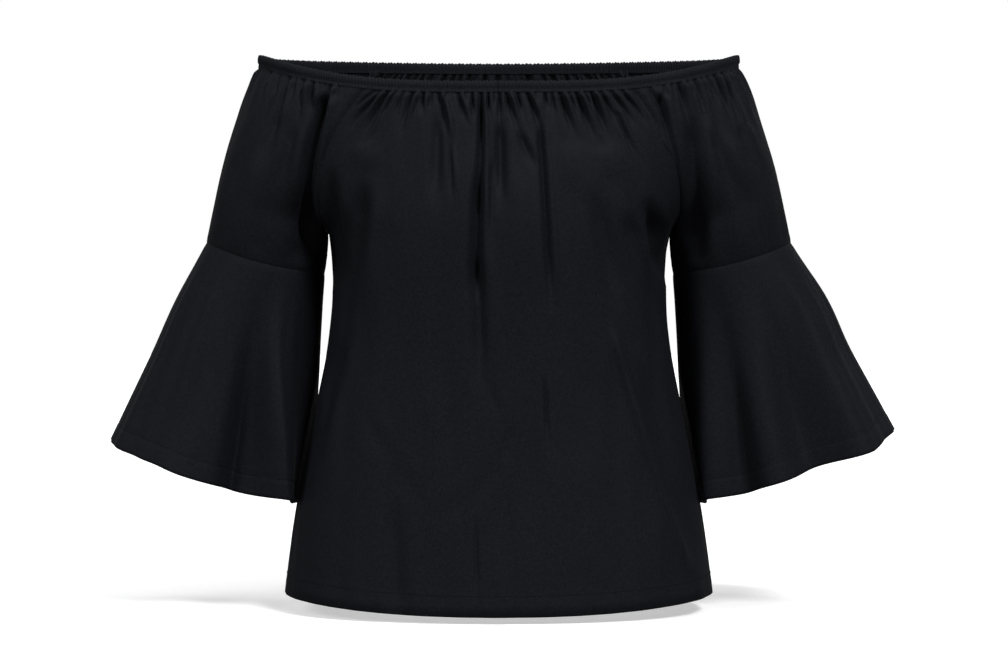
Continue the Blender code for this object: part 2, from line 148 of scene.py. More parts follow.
flounceInner = table(
    "down x z",
    (0.00, 0.1600, -0.1868),
    (0.15, 0.1622, -0.2190),
    (0.35, 0.1648, -0.2620),
    (0.60, 0.1660, -0.3150),
    (1.00, 0.1680, -0.3990),
)
flounceDepth = table(
    "down front back middleY",
    (0.00, 0.054, 0.055, 0.006),
    (0.30, 0.061, 0.062, 0.012),
    (1.00, 0.078, 0.080, 0.024),
)
flounceForm = {
    "bumpEnd": 0.6,
    "dip": 0.006,
    "drop": 0.0007,
    "clearance": 0.0042,
    "softness": 0.003,
    "pushStart": 0.15,
    "flarePower": 1.1,
}
# Outer tips and flares, 1 for the wearer's left. Flares stand at degrees from the outer edge
flounceSides = {
    1: {
        "tipX": 0.3664,
        "tipZ": -0.3312,
        "bump": 0.0045,
        "flares": table(
            "at out halfWidth",
            (-134, 0.007, 13),
            (-116, -0.008, 10),
            (-97, 0.006, 12),
            (-77, -0.009, 12),
            (-54, 0.006, 16),
            (40, -0.006, 16),
            (72, 0.007, 16),
            (108, -0.007, 14),
            (140, 0.005, 14),
        ),
    },
    -1: {
        "tipX": 0.3595,
        "tipZ": -0.3404,
        "bump": 0.0018,
        "flares": table(
            "at out halfWidth",
            (-150, -0.005, 12),
            (-124, 0.008, 12),
            (-105, -0.009, 9),
            (-80, 0.005, 18),
            (-40, 0.003, 18),
            (46, -0.006, 16),
            (78, 0.007, 15),
            (112, -0.007, 14),
            (142, 0.005, 14),
        ),
    },
}


def ringTop(turn):
    # Height of the band's top edge: turn is 0 at the centre front and pi at the centre back. It
    # climbs with the cube of the sine in front and falls with its fourth power behind
    side = np.abs(np.sin(turn))
    front = neckline["frontZ"] + (neckline["sideZ"] - neckline["frontZ"]) * side**3
    back = neckline["backZ"] + (neckline["sideZ"] - neckline["backZ"]) * side**4
    return np.where(np.cos(turn) > 0, front, back)


def bandHeight(turn):
    return neckline["bandHeight"] + neckline["bandSideExtra"] * np.sin(turn) ** 2


def ringBottom(turn):
    return ringTop(turn) - bandHeight(turn) - seamGap


def sleeveArc(down, apart=0.0):
    # Centre, half width and end angle of a sleeve row's arc: the end angle is the arc cosine of
    # the seam's share of the half width
    inner = read(sleeveRows, "innerX", down) + apart
    outer = read(sleeveRows, "outerX", down)
    centre = read(sleeveRows, "pull", down) * (inner + outer) / 2
    half = outer - centre
    end = np.arccos(np.clip((inner - centre) / half, -1, 1))
    return centre, half, np.minimum(end, math.pi - seamGap / 2 / read(sleeveRows, "front", down))


def sleeveForm(down, around):
    # The left sleeve: around runs from -1 at the front raglan seam, over the arm, to 1 at the back
    # one. x and y follow the row's arc, z falls from the outer edge with 1 - cos of the angle, and
    # the top row is moved onto the band's lower edge
    centre, half, end = sleeveArc(down, read(sleeveRows, "apart", down))
    turn = around * end
    front = around < 0
    depth = np.where(front, read(sleeveRows, "front", down), read(sleeveRows, "back", down))
    seamZ = np.where(front, read(sleeveRows, "frontZ", down), read(sleeveRows, "backZ", down))
    outerZ = read(sleeveRows, "outerZ", down)
    x = centre + half * np.cos(turn)
    y = read(sleeveRows, "middleY", down) + depth * np.sin(turn)
    z = outerZ + (seamZ - outerZ) * (1 - np.cos(turn)) / (1 - np.cos(end))
    z -= read(sleeveRows, "dip", down) * np.sin(turn) ** 2

    topEnd = sleeveArc(0.0)[2]
    topTurn = around * topEnd
    topSeamZ = np.where(front, sleeveRows["frontZ"][0], sleeveRows["backZ"][0])
    topOuterZ = sleeveRows["outerZ"][0]
    plain = topOuterZ + (topSeamZ - topOuterZ) * (1 - np.cos(topTurn)) / (1 - math.cos(topEnd))
    z += (ringBottom(math.pi / 2 + topTurn) - plain) * np.clip(1 - down, 0, 1) ** 2
    return x, y, z


def raglanSeam(down, back):
    # Where the body meets the left sleeve in a row, from the neckline to the armpit
    centre, half, end = sleeveArc(down)
    side = 1 if back else -1
    depth = read(sleeveRows, "back" if back else "front", down)
    y = side * np.maximum(depth * np.sin(end), seamGap / 2)
    topTurn = math.pi / 2 + side * sleeveArc(0.0)[2]
    name = "backZ" if back else "frontZ"
    z = read(sleeveRows, name, down)
    z = z + (ringBottom(topTurn) - sleeveRows[name][0]) * np.clip(1 - down, 0, 1) ** 2
    return centre + half * np.cos(end), y, z


def panelForm(down, across, back):
    # The front or back: across runs from -1 to 1 between its side edges. A row is part of a boxy
    # ellipse, x the sine and y a power of the cosine of across times the row's turn. z drops from
    # its ends to its centre with a power of x
    side = 1 if back else -1
    top = np.clip(down, 0, 1)
    low = np.clip(down - 1, 0, 1)
    seamX, seamY, seamZ = raglanSeam(top, back)
    centreRing = ringBottom(math.pi if back else 0.0)
    seamRing = raglanSeam(0.0, back)[2]
    edgeZ = seamZ + low * (bodyForm["hemSideZ"] - bodyForm["armpitZ"])
    centreZ = edgeZ + (centreRing - seamRing) * (1 - top) - read(panelRows, "sag", down)
    edgeX = np.where(low > 0, read(bodyRows, "halfWidth", -edgeZ), seamX)
    edgeX = edgeX - read(sleeveRows, "apart", top)
    edgeY = np.where(low > 0, side * seamGap / 2, seamY)
    centreY = side * read(bodyRows, "back" if back else "front", -centreZ)
    turn = np.radians(read(panelRows, "degrees", top))
    inward = np.clip((np.cos(across * turn) - np.cos(turn)) / (1 - np.cos(turn)), 0, 1)
    x = edgeX * np.sin(across * turn) / np.sin(turn)
    y = edgeY + (centreY - edgeY) * inward ** read(panelRows, "power", down)
    fall = np.abs(x / edgeX) ** bodyForm["sagPower"]
    z = centreZ + (edgeZ - centreZ) * fall
    plain = centreRing + (seamRing - centreRing) * fall
    ringTurn = (math.pi if back else 0.0) - side * across * np.radians(panelRows["degrees"][0])
    return x, y, z + (ringBottom(ringTurn) - plain) * np.clip(1 - down, 0, 1) ** 2


def bodySide(y, z):
    # How far out a flounce must stay at a depth and height: the body's own row turned round to
    # give x for y, and the clearance
    low = (bodyForm["armpitZ"] - z) / (bodyForm["armpitZ"] - bodyForm["hemSideZ"])
    depth = np.where(y < 0, read(bodyRows, "front", -z), read(bodyRows, "back", -z))
    share = np.clip(np.abs(y) / depth, 0, 1) ** (2 / read(panelRows, "power", 1 + low))
    return read(bodyRows, "halfWidth", -z) * np.sqrt(1 - share) + flounceForm["clearance"]


def flounceFormAt(down, turn, side, ripple=0.0):
    # A flounce's rings run round an ellipse between an outer and an inner edge. Flares are bell
    # curves of the angle that grow downwards, ripple is added to them, and near the body the ring
    # is pushed out to lie just clear of it
    shape = flounceSides[side]
    topX, topZ = sleeveRows["outerX"][-1], sleeveRows["outerZ"][-1]
    outerX = topX + (shape["tipX"] - topX) * down
    outerX = outerX + shape["bump"] * np.sin(math.pi * np.clip(down / flounceForm["bumpEnd"], 0, 1)) ** 2
    outerZ = topZ + (shape["tipZ"] - topZ) * down
    innerX = read(flounceInner, "x", down) + sleeveRows["apart"][-1] * (1 - down)
    innerZ = read(flounceInner, "z", down)
    depth = np.where(turn < 0, read(flounceDepth, "front", down), read(flounceDepth, "back", down))
    flare = sum(
        out * np.exp(-(((np.degrees(turn) - at) / halfWidth) ** 2))
        for at, out, halfWidth in zip(*shape["flares"].values())
    )
    grown = 1 + (flare * down ** flounceForm["flarePower"] + ripple) / depth
    x = (outerX + innerX) / 2 + (outerX - innerX) / 2 * np.cos(turn) * grown
    y = read(flounceDepth, "middleY", down) + depth * np.sin(turn) * grown
    z = (outerZ + innerZ) / 2 + (outerZ - innerZ) / 2 * np.cos(turn)
    z = z - flounceForm["dip"] * np.sin(turn) ** 2
    side = bodySide(y, z)
    pushed = (x + side + np.hypot(x - side, flounceForm["softness"])) / 2
    return x + (pushed - x) * ease(down / flounceForm["pushStart"]), y, z


# Folds

gatherRules = {
    "front": {"count": 20, "size": 0.0019, "reach": 0.066, "phases": (0.6, 1.9)},
    "back": {"count": 20, "size": 0.0018, "reach": 0.060, "phases": (2.2, 0.3)},
    "sleeve_left": {"count": 14, "size": 0.0018, "reach": 0.056, "phases": (1.1, 2.7)},
    "sleeve_right": {"count": 14, "size": 0.0018, "reach": 0.056, "phases": (2.8, 0.9)},
}
gatherUnevenness = {
    "shift": ((5.3, 0.016), (13.1, 0.009)),
    "reach": ((8.3, 0.35), (21.0, 0.20)),
    "size": ((9.7, 0.3),),
    "startSize": 0.45,
    "fullDrop": 0.012,
    "edgePower": 22,
}


def slowWaves(across, waves, phases):
    # The sum of each wave's share times the sine of its rate times across, moved by its phase
    return sum(share * np.sin(rate * across + phase) for (rate, share), phase in zip(waves, phases))


def sideCalm(across):
    return 1 - np.abs(across) ** gatherUnevenness["edgePower"]


def gatherWaves(name, across, drop):
    # Cosine waves across a piece, bunched and spread by slower sines. Each is shallow at the band,
    # deepest a little below it, and dies out at its own length
    rule = gatherRules[name]
    phases = rule["phases"]
    place = across + slowWaves(across, gatherUnevenness["shift"], phases)
    reach = rule["reach"] * (1 + slowWaves(across, gatherUnevenness["reach"], phases[::-1]))
    size = rule["size"] * (1 + slowWaves(across, gatherUnevenness["size"], phases))
    startSize = gatherUnevenness["startSize"]
    start = startSize + (1 - startSize) * ease(drop / gatherUnevenness["fullDrop"])
    wave = np.cos(math.pi * rule["count"] * place)
    return size * wave * start * (1 - ease(drop / reach)) * sideCalm(across)


# Long soft folds, measured by their top and foot as seen from the front. bow moves the middle of a
# fold sideways, out is below 0 for a trough, lip raises one side by that share, on the +X side
# where it is positive, and start and fade are the shares of the length over which it begins and ends
foldColumns = "topX topZ footX footZ bow out halfWidth lip start fade"
foldTables = {
    "front": table(
        foldColumns,
        (-0.0147, -0.0400, -0.0175, -0.1500, 0.0000, -0.0040, 0.0030, 0.30, 0.10, 0.30),
        (-0.0178, -0.0933, -0.0203, -0.2180, 0.0000, -0.0065, 0.0046, 0.20, 0.35, 0.30),
        (-0.0190, -0.1700, -0.0140, -0.3157, 0.0000, -0.0044, 0.0058, 0.10, 0.20, 0.55),
        (0.0009, -0.0538, 0.0030, -0.1411, 0.0000, -0.0042, 0.0042, 0.20, 0.20, 0.50),
        (-0.0057, -0.0871, -0.0066, -0.1827, 0.0000, -0.0016, 0.0026, 0.00, 0.20, 0.60),
        (-0.0531, -0.0476, -0.0556, -0.1411, 0.0000, -0.0034, 0.0050, 0.20, 0.25, 0.50),
        (-0.0432, -0.0725, -0.0398, -0.1328, 0.0000, -0.0018, 0.0022, 0.50, 0.30, 0.50),
        (0.0363, -0.0559, 0.0471, -0.2300, 0.0000, -0.0036, 0.0029, 0.30, 0.10, 0.35),
        (0.0167, -0.0621, 0.0358, -0.1037, -0.0013, -0.0024, 0.0032, 0.30, 0.30, 0.60),
        (-0.1159, -0.1037, -0.1429, -0.2409, 0.0000, -0.0055, 0.0085, 0.35, 0.25, 0.45),
        (-0.1346, -0.1245, -0.1533, -0.2326, 0.0000, -0.0020, 0.0045, 0.30, 0.30, 0.50),
        (0.1049, -0.1120, 0.1408, -0.2409, 0.0000, 0.0018, 0.0040, 0.00, 0.45, 0.40),
        (0.1107, -0.1328, 0.1481, -0.2492, 0.0000, -0.0034, 0.0060, 0.00, 0.20, 0.40),
        (0.0805, -0.1120, 0.1107, -0.2326, 0.0000, -0.0034, 0.0085, 0.00, 0.30, 0.50),
        (0.1290, -0.1180, 0.1525, -0.2000, 0.0018, -0.0080, 0.0066, 0.00, 0.40, 0.30),
        (-0.1500, -0.0900, -0.1495, -0.2050, 0.0000, -0.0080, 0.0060, 0.00, 0.40, 0.30),
        (-0.0307, -0.0663, -0.0323, -0.2118, 0.0000, 0.0016, 0.0120, 0.00, 0.30, 0.60),
        (0.0192, -0.0871, 0.0192, -0.2118, 0.0000, 0.0016, 0.0160, 0.00, 0.30, 0.60),
        (0.0629, -0.0704, 0.0712, -0.1328, 0.0000, 0.0016, 0.0140, 0.00, 0.30, 0.60),
        (0.0920, -0.0746, 0.1045, -0.1141, 0.0000, 0.0016, 0.0090, 0.00, 0.30, 0.60),
        (-0.1222, -0.0725, -0.1097, -0.1037, 0.0000, 0.0016, 0.0100, 0.00, 0.30, 0.60),
        (-0.1359, -0.2471, -0.1821, -0.4049, 0.0000, -0.0024, 0.0060, 0.50, 0.15, 0.50),
        (-0.0107, -0.2798, 0.0042, -0.3260, 0.0000, -0.0007, 0.0040, 0.20, 0.30, 0.50),
        (0.0132, -0.3206, 0.0029, -0.3614, 0.0000, -0.0008, 0.0046, 0.00, 0.30, 0.50),
        (0.0040, -0.3505, -0.0311, -0.3995, 0.0000, -0.0009, 0.0056, 0.20, 0.30, 0.50),
        (-0.0243, -0.3859, -0.0597, -0.4076, 0.0000, -0.0007, 0.0050, 0.20, 0.30, 0.50),
        (-0.1163, -0.3151, -0.0937, -0.3587, 0.0000, -0.0010, 0.0050, 0.30, 0.25, 0.50),
        (-0.0951, -0.3505, -0.0624, -0.3995, 0.0000, -0.0008, 0.0060, 0.30, 0.30, 0.60),
        (-0.0924, -0.3832, -0.0907, -0.4920, 0.0000, -0.0018, 0.0085, 0.20, 0.40, 0.20),
        (0.0404, -0.2798, 0.0431, -0.3451, 0.0000, -0.0018, 0.0018, 0.20, 0.20, 0.40),
        (-0.0200, -0.3995, -0.0186, -0.4757, 0.0000, -0.0016, 0.0018, 0.20, 0.30, 0.30),
        (0.0981, -0.2335, 0.1743, -0.4621, -0.0034, 0.0030, 0.0040, 0.00, 0.10, 0.15),
        (0.1226, -0.2580, 0.1879, -0.4648, -0.0040, -0.0036, 0.0090, 0.00, 0.25, 0.30),
        (0.0736, -0.2471, 0.1335, -0.4376, 0.0000, -0.0016, 0.0120, 0.00, 0.30, 0.50),
        (-0.0570, -0.2580, -0.0597, -0.4485, 0.0000, 0.0012, 0.0160, 0.00, 0.30, 0.60),
        (0.0654, -0.3342, 0.0736, -0.4757, 0.0000, 0.0012, 0.0180, 0.00, 0.30, 0.40),
    ),
    "back": table(
        foldColumns,
        (0.0120, -0.0300, 0.0160, -0.2500, 0.0000, -0.0055, 0.0060, 0.20, 0.20, 0.50),
        (-0.0360, -0.0150, -0.0480, -0.1900, 0.0000, -0.0040, 0.0050, 0.25, 0.20, 0.50),
        (0.0550, -0.0200, 0.0700, -0.2700, 0.0020, -0.0042, 0.0060, -0.25, 0.20, 0.50),
        (-0.0900, -0.0800, -0.1280, -0.2700, 0.0000, -0.0050, 0.0090, -0.20, 0.30, 0.50),
        (0.1050, -0.0900, 0.1350, -0.2800, 0.0000, -0.0050, 0.0090, 0.20, 0.30, 0.50),
        (-0.0700, -0.0200, -0.0900, -0.1200, 0.0000, -0.0034, 0.0045, -0.30, 0.20, 0.50),
        (0.0830, -0.0200, 0.1050, -0.1300, 0.0000, -0.0034, 0.0045, 0.30, 0.20, 0.50),
        (-0.0100, -0.0200, -0.0120, -0.1100, 0.0000, -0.0030, 0.0040, 0.20, 0.20, 0.50),
        (0.0350, -0.0200, 0.0360, -0.1000, 0.0000, -0.0028, 0.0036, 0.20, 0.20, 0.50),
        (-0.0400, -0.2400, -0.1300, -0.4600, 0.0060, -0.0034, 0.0110, 0.00, 0.30, 0.40),
        (0.0300, -0.2700, 0.0750, -0.4800, 0.0040, -0.0034, 0.0110, 0.00, 0.30, 0.30),
        (0.0950, -0.2600, 0.1600, -0.4700, 0.0000, 0.0028, 0.0060, 0.00, 0.30, 0.25),
        (-0.1300, -0.3000, -0.1650, -0.4700, 0.0000, 0.0024, 0.0070, 0.00, 0.30, 0.25),
        (-0.0100, -0.3400, -0.0150, -0.4800, 0.0000, -0.0020, 0.0060, 0.00, 0.40, 0.20),
    ),
    "sleeve_left": table(
        foldColumns,
        (0.1415, -0.0290, 0.1575, -0.1300, 0.0029, -0.0060, 0.0030, 0.30, 0.08, 0.30),
        (0.1709, -0.0448, 0.1782, -0.1980, 0.0029, -0.0060, 0.0075, 0.20, 0.20, 0.35),
        (0.1588, -0.0569, 0.1629, -0.1778, 0.0013, 0.0020, 0.0050, 0.00, 0.30, 0.40),
        (0.1881, -0.0569, 0.2193, -0.1335, 0.0000, -0.0018, 0.0060, 0.50, 0.25, 0.50),
        (0.2153, -0.0529, 0.2334, -0.1013, 0.0000, -0.0018, 0.0045, 0.60, 0.25, 0.50),
        (0.2052, -0.0630, 0.2233, -0.1254, 0.0000, 0.0014, 0.0080, 0.00, 0.30, 0.50),
    ),
    "sleeve_right": table(
        foldColumns,
        (0.1533, -0.0280, 0.1643, -0.1899, 0.0109, -0.0105, 0.0056, -0.30, 0.08, 0.30),
        (0.1724, -0.0731, 0.1845, -0.1939, 0.0000, 0.0022, 0.0070, 0.00, 0.30, 0.40),
        (0.1805, -0.0489, 0.1986, -0.1254, 0.0000, -0.0022, 0.0060, -0.30, 0.30, 0.50),
        (0.1895, -0.0408, 0.2208, -0.1013, 0.0000, -0.0020, 0.0070, -0.30, 0.30, 0.50),
        (0.1744, -0.1093, 0.1825, -0.1980, 0.0000, -0.0032, 0.0080, 0.00, 0.35, 0.40),
    ),
}

# Pinched creases that start at the band, with the same columns but for start and fade
creaseColumns = "topX topZ footX footZ bow out halfWidth lip"
creaseTables = {
    "front": table(
        creaseColumns,
        (-0.1346, -0.0334, -0.1523, -0.0476, 0.0000, -0.0016, 0.0016, 0.30),
        (-0.1159, -0.0340, -0.1429, -0.0559, 0.0000, -0.0024, 0.0020, 0.30),
        (-0.1086, -0.0340, -0.1367, -0.0694, 0.0000, -0.0026, 0.0021, 0.35),
        (-0.0997, -0.0340, -0.1253, -0.0808, 0.0000, -0.0034, 0.0025, 0.40),
        (-0.0926, -0.0340, -0.1086, -0.0621, 0.0000, -0.0018, 0.0016, 0.30),
        (-0.0847, -0.0340, -0.0926, -0.0559, 0.0000, -0.0016, 0.0016, 0.30),
        (-0.0760, -0.0340, -0.0906, -0.0767, 0.0000, -0.0032, 0.0022, 0.40),
        (-0.0660, -0.0340, -0.0671, -0.0538, 0.0000, -0.0032, 0.0017, 0.20),
        (-0.0587, -0.0340, -0.0608, -0.0476, 0.0000, -0.0016, 0.0015, 0.00),
        (-0.0519, -0.0340, -0.0432, -0.0871, 0.0018, -0.0032, 0.0023, 0.50),
        (-0.0463, -0.0340, -0.0473, -0.0496, 0.0000, -0.0022, 0.0015, 0.00),
        (-0.0348, -0.0340, -0.0255, -0.0663, 0.0000, -0.0028, 0.0020, 0.40),
        (-0.0296, -0.0340, -0.0276, -0.0455, 0.0000, -0.0016, 0.0014, 0.00),
        (-0.0230, -0.0340, -0.0219, -0.0579, 0.0000, -0.0030, 0.0016, 0.20),
        (-0.0149, -0.0340, -0.0153, -0.0912, 0.0000, -0.0034, 0.0020, 0.30),
        (-0.0091, -0.0340, -0.0091, -0.0611, 0.0000, -0.0030, 0.0016, 0.20),
        (-0.0041, -0.0340, -0.0037, -0.0476, 0.0000, -0.0016, 0.0014, 0.00),
        (0.0009, -0.0340, 0.0001, -0.0663, 0.0000, -0.0028, 0.0019, 0.30),
        (0.0074, -0.0340, 0.0192, -0.0725, 0.0000, -0.0032, 0.0022, 0.40),
        (0.0171, -0.0340, 0.0196, -0.0538, 0.0000, -0.0026, 0.0017, 0.00),
        (0.0261, -0.0340, 0.0363, -0.0704, 0.0013, -0.0036, 0.0022, 0.40),
        (0.0321, -0.0340, 0.0342, -0.0476, 0.0000, -0.0016, 0.0015, 0.00),
        (0.0410, -0.0340, 0.0421, -0.0496, 0.0000, -0.0030, 0.0016, 0.00),
        (0.0473, -0.0340, 0.0485, -0.0538, 0.0000, -0.0024, 0.0016, 0.20),
        (0.0550, -0.0340, 0.0681, -0.0756, 0.0000, -0.0032, 0.0022, 0.40),
        (0.0629, -0.0340, 0.0695, -0.0559, 0.0000, -0.0018, 0.0016, 0.20),
        (0.0695, -0.0340, 0.0853, -0.0767, 0.0000, -0.0032, 0.0022, 0.40),
        (0.0774, -0.0340, 0.0841, -0.0517, 0.0000, -0.0018, 0.0016, 0.20),
        (0.0828, -0.0340, 0.0986, -0.0777, 0.0000, -0.0032, 0.0022, 0.40),
        (0.0920, -0.0340, 0.1090, -0.0673, 0.0000, -0.0024, 0.0019, 0.30),
        (0.1024, -0.0340, 0.1215, -0.0663, 0.0013, -0.0024, 0.0018, 0.30),
        (0.1128, -0.0340, 0.1331, -0.0663, 0.0018, -0.0024, 0.0018, 0.30),
        (0.1221, -0.0340, 0.1388, -0.0652, 0.0018, -0.0018, 0.0016, 0.30),
        (0.1097, -0.0621, 0.1232, -0.0933, 0.0000, -0.0016, 0.0020, 0.30),
    ),
    "sleeve_left": table(
        creaseColumns,
        (0.1334, -0.0232, 0.1424, -0.0473, 0.0000, -0.0020, 0.0018, 0.20),
        (0.1464, -0.0192, 0.1504, -0.0433, 0.0000, -0.0020, 0.0017, 0.30),
        (0.1535, -0.0192, 0.1585, -0.0393, 0.0000, -0.0018, 0.0017, 0.30),
        (0.1601, -0.0182, 0.1715, -0.0674, 0.0000, -0.0034, 0.0026, 0.40),
        (0.1685, -0.0172, 0.1736, -0.0373, 0.0000, -0.0018, 0.0016, 0.30),
        (0.1756, -0.0162, 0.1876, -0.0634, 0.0000, -0.0024, 0.0022, 0.50),
        (0.1816, -0.0162, 0.1866, -0.0333, 0.0000, -0.0018, 0.0016, 0.20),
        (0.1886, -0.0162, 0.1987, -0.0433, 0.0000, -0.0022, 0.0019, 0.30),
        (0.1957, -0.0152, 0.2148, -0.0634, 0.0000, -0.0028, 0.0024, 0.40),
        (0.2037, -0.0142, 0.2228, -0.0735, 0.0000, -0.0030, 0.0022, 0.50),
        (0.2087, -0.0152, 0.2178, -0.0413, 0.0000, -0.0020, 0.0018, 0.30),
    ),
    "sleeve_right": table(
        creaseColumns,
        (0.1479, -0.0182, 0.1589, -0.0574, 0.0000, -0.0036, 0.0026, -0.40),
        (0.1388, -0.0182, 0.1499, -0.0453, 0.0000, -0.0024, 0.0020, -0.30),
        (0.1529, -0.0172, 0.1589, -0.0353, 0.0000, -0.0018, 0.0016, -0.30),
        (0.1649, -0.0192, 0.1700, -0.0634, 0.0000, -0.0028, 0.0022, -0.40),
        (0.1589, -0.0182, 0.1629, -0.0373, 0.0000, -0.0018, 0.0016, -0.20),
        (0.1740, -0.0202, 0.1800, -0.0574, 0.0000, -0.0026, 0.0022, -0.40),
        (0.1820, -0.0182, 0.1850, -0.0353, 0.0000, -0.0018, 0.0017, -0.20),
        (0.1891, -0.0202, 0.2082, -0.0775, 0.0000, -0.0026, 0.0026, -0.40),
        (0.1981, -0.0172, 0.2021, -0.0333, 0.0000, -0.0016, 0.0016, -0.20),
        (0.2082, -0.0152, 0.2172, -0.0413, 0.0000, -0.0018, 0.0018, -0.30),
        (0.1368, -0.0232, 0.1398, -0.0373, 0.0000, -0.0015, 0.0015, 0.00),
    ),
}
foldShape = {"depth": 1.5, "widen": 0.3, "lipPlace": 1.6, "lipWidth": 1.0}
creaseShape = {"depth": 1.75, "widen": 0.45, "above": 0.5, "fade": 1.0, "lipScale": 1.9}


def bell(off, width, lip):
    # A bell curve across a fold, with a smaller raised one beside it
    curve = np.exp(-((off / width) ** 2))
    if lip:
        beside = off - math.copysign(foldShape["lipPlace"], lip) * width
        curve = curve - abs(lip) * np.exp(-((beside / (foldShape["lipWidth"] * width)) ** 2))
    return curve


def alongLine(x, z, topX, topZ, footX, footZ, bow):
    # Share of a line's length at each point, and the distance to its +X side. The line is bowed by
    # a parabola
    runX, runZ = footX - topX, footZ - topZ
    length = math.hypot(runX, runZ)
    along = ((x - topX) * runX + (z - topZ) * runZ) / length**2
    off = ((z - topZ) * runX - (x - topX) * runZ) / length
    held = np.clip(along, 0, 1)
    return along, off - bow * 4 * held * (1 - held)


def longFolds(rows, x, z):
    # Troughs and ridges that begin and end softly
    out = np.zeros_like(x)
    for topX, topZ, footX, footZ, bow, depth, halfWidth, lip, start, fade in zip(*rows.values()):
        along, off = alongLine(x, z, topX, topZ, footX, footZ, bow)
        width = halfWidth * (1 + foldShape["widen"] * np.clip(along, 0, 1))
        out += depth * ease(along / start) * ease((1 - along) / fade) * bell(off, width, lip)
    return out * foldShape["depth"]


def creases(rows, x, z):
    # V-shaped creases, full from the band on, that widen towards their foot and get shallower
    out = np.zeros_like(x)
    for topX, topZ, footX, footZ, bow, depth, halfWidth, lip in zip(*rows.values()):
        along, off = alongLine(x, z, topX, topZ, footX, footZ, bow)
        width = halfWidth * (1 + creaseShape["widen"] * np.clip(along, 0, 1))
        fade = ease((along + creaseShape["above"]) / 0.1) * ease((1 - along) / creaseShape["fade"])
        out += depth * fade * bell(off, width, lip * creaseShape["lipScale"])
    return out * creaseShape["depth"]


# Creases that the photo doesn't show, spread along the band with seeded unevenness. Lengths in m
bandCreases = {
    "back": {"count": 34, "seed": 3, "from": -0.97, "to": 0.97},
    "sleeve_left": {"count": 24, "seed": 5, "from": -0.42, "to": 0.95},
    "sleeve_right": {"count": 24, "seed": 8, "from": -0.42, "to": 0.95},
    "depth": (0.0016, 0.0036),
    "length": (0.020, 0.065),
    "halfWidth": (0.0015, 0.0024),
    "lean": 0.6,
}


def spreadCreases(name, across, drop, halfArc):
    # The same V-shaped creases, each starting at its own place across the band and leaning a
    # little as it drops. The offset is in metres: across times half the row's length
    rule = bandCreases[name]
    draw = np.random.default_rng(rule["seed"])
    count = rule["count"]
    step = (rule["to"] - rule["from"]) / count
    starts = rule["from"] + step * (np.arange(count) + 0.5 + draw.uniform(-0.32, 0.32, count))
    depths = draw.uniform(*bandCreases["depth"], count)
    lengths = draw.uniform(*bandCreases["length"], count) * (0.5 + 0.5 * depths / bandCreases["depth"][1])
    widths = draw.uniform(*bandCreases["halfWidth"], count)
    leans = draw.uniform(-1, 1, count) * bandCreases["lean"]
    out = np.zeros_like(across)
    for start, depth, length, halfWidth, lean in zip(starts, depths, lengths, widths, leans):
        along = drop / length
        off = (across - start - lean * drop) * halfArc
        width = halfWidth * (1 + creaseShape["widen"] * np.clip(along, 0, 1))
        out -= depth * ease((1 - along) / creaseShape["fade"]) * bell(off, width, 0.35 * np.sign(lean))
    return out


def softNoise(across, down, size, seed, waves=9):
    # Smooth unevenness of about -1 to 1: seeded sine waves in all directions at about one size
    draw = np.random.default_rng(seed)
    total = np.zeros_like(across)
    for _ in range(waves):
        angle, phase = draw.uniform(0, math.pi), draw.uniform(0, 2 * math.pi)
        rate = 2 * math.pi / size * draw.uniform(0.6, 1.5)
        total += np.sin(rate * (np.cos(angle) * across + np.sin(angle) * down) + phase)
    return total / math.sqrt(waves)


# Meshes

def outward(x, y, z, turned):
    # Unit normals of a grid from the steps to its neighbours
    points = np.stack([x, y, z], axis=-1)
    down, across = np.gradient(points, axis=0), np.gradient(points, axis=1)
    normal = np.cross(down, across) * (-1 if turned else 1)
    return normal / np.linalg.norm(normal, axis=-1, keepdims=True)


def arcLengths(points, axis):
    # Length along the rows or columns of a grid, starting at 0
    steps = np.linalg.norm(np.diff(points, axis=axis), axis=-1)
    return np.concatenate([np.zeros_like(np.take(steps, [0], axis)), np.cumsum(steps, axis=axis)], axis=axis)


def withoutKinks(points, weight):
    # Averages each point with its neighbours up and down many times, which takes out the kink at
    # the armpit's row. weight keeps the edges where they are
    smooth = points.copy()
    for _ in range(40):
        smooth[1:-1] = (smooth[:-2] + 2 * smooth[1:-1] + smooth[2:]) / 4
    return points + (smooth - points) * weight[..., None]


allowance = {"turn": 0.0009, "depth": 0.0050, "back": 0.00010, "lean": -0.0042}


def turnedIn(points, normals, uvs, axis, last):
    # Two more lines past an edge: the cloth bends in at its seam, and its allowance stands inside
    points, normals, uvs = (np.moveaxis(grid, axis, 0) for grid in (points, normals, uvs))
    order = slice(None, None, -1) if last else slice(None)
    points, normals, uvs = points[order].copy(), normals[order], uvs[order]
    back = points[1] - points[0]
    back /= np.linalg.norm(back, axis=-1, keepdims=True)
    points[0] += back * allowance["back"]
    bend = points[0] - normals[0] * allowance["turn"] + back * allowance["lean"]
    end = points[0] - normals[0] * allowance["depth"] + back * allowance["lean"]
    uvStep = uvs[0] - uvs[1]
    uvStep /= np.maximum(np.linalg.norm(uvStep, axis=-1, keepdims=True), 1e-9)
    points = np.concatenate([end[None], bend[None], points])
    normals = np.concatenate([normals[:1], normals[:1], normals])
    uvs = np.concatenate([(uvs[0] + uvStep * allowance["depth"])[None], (uvs[0] + uvStep * allowance["turn"])[None], uvs])
    return tuple(np.moveaxis(grid[order], 0, axis) for grid in (points, normals, uvs))


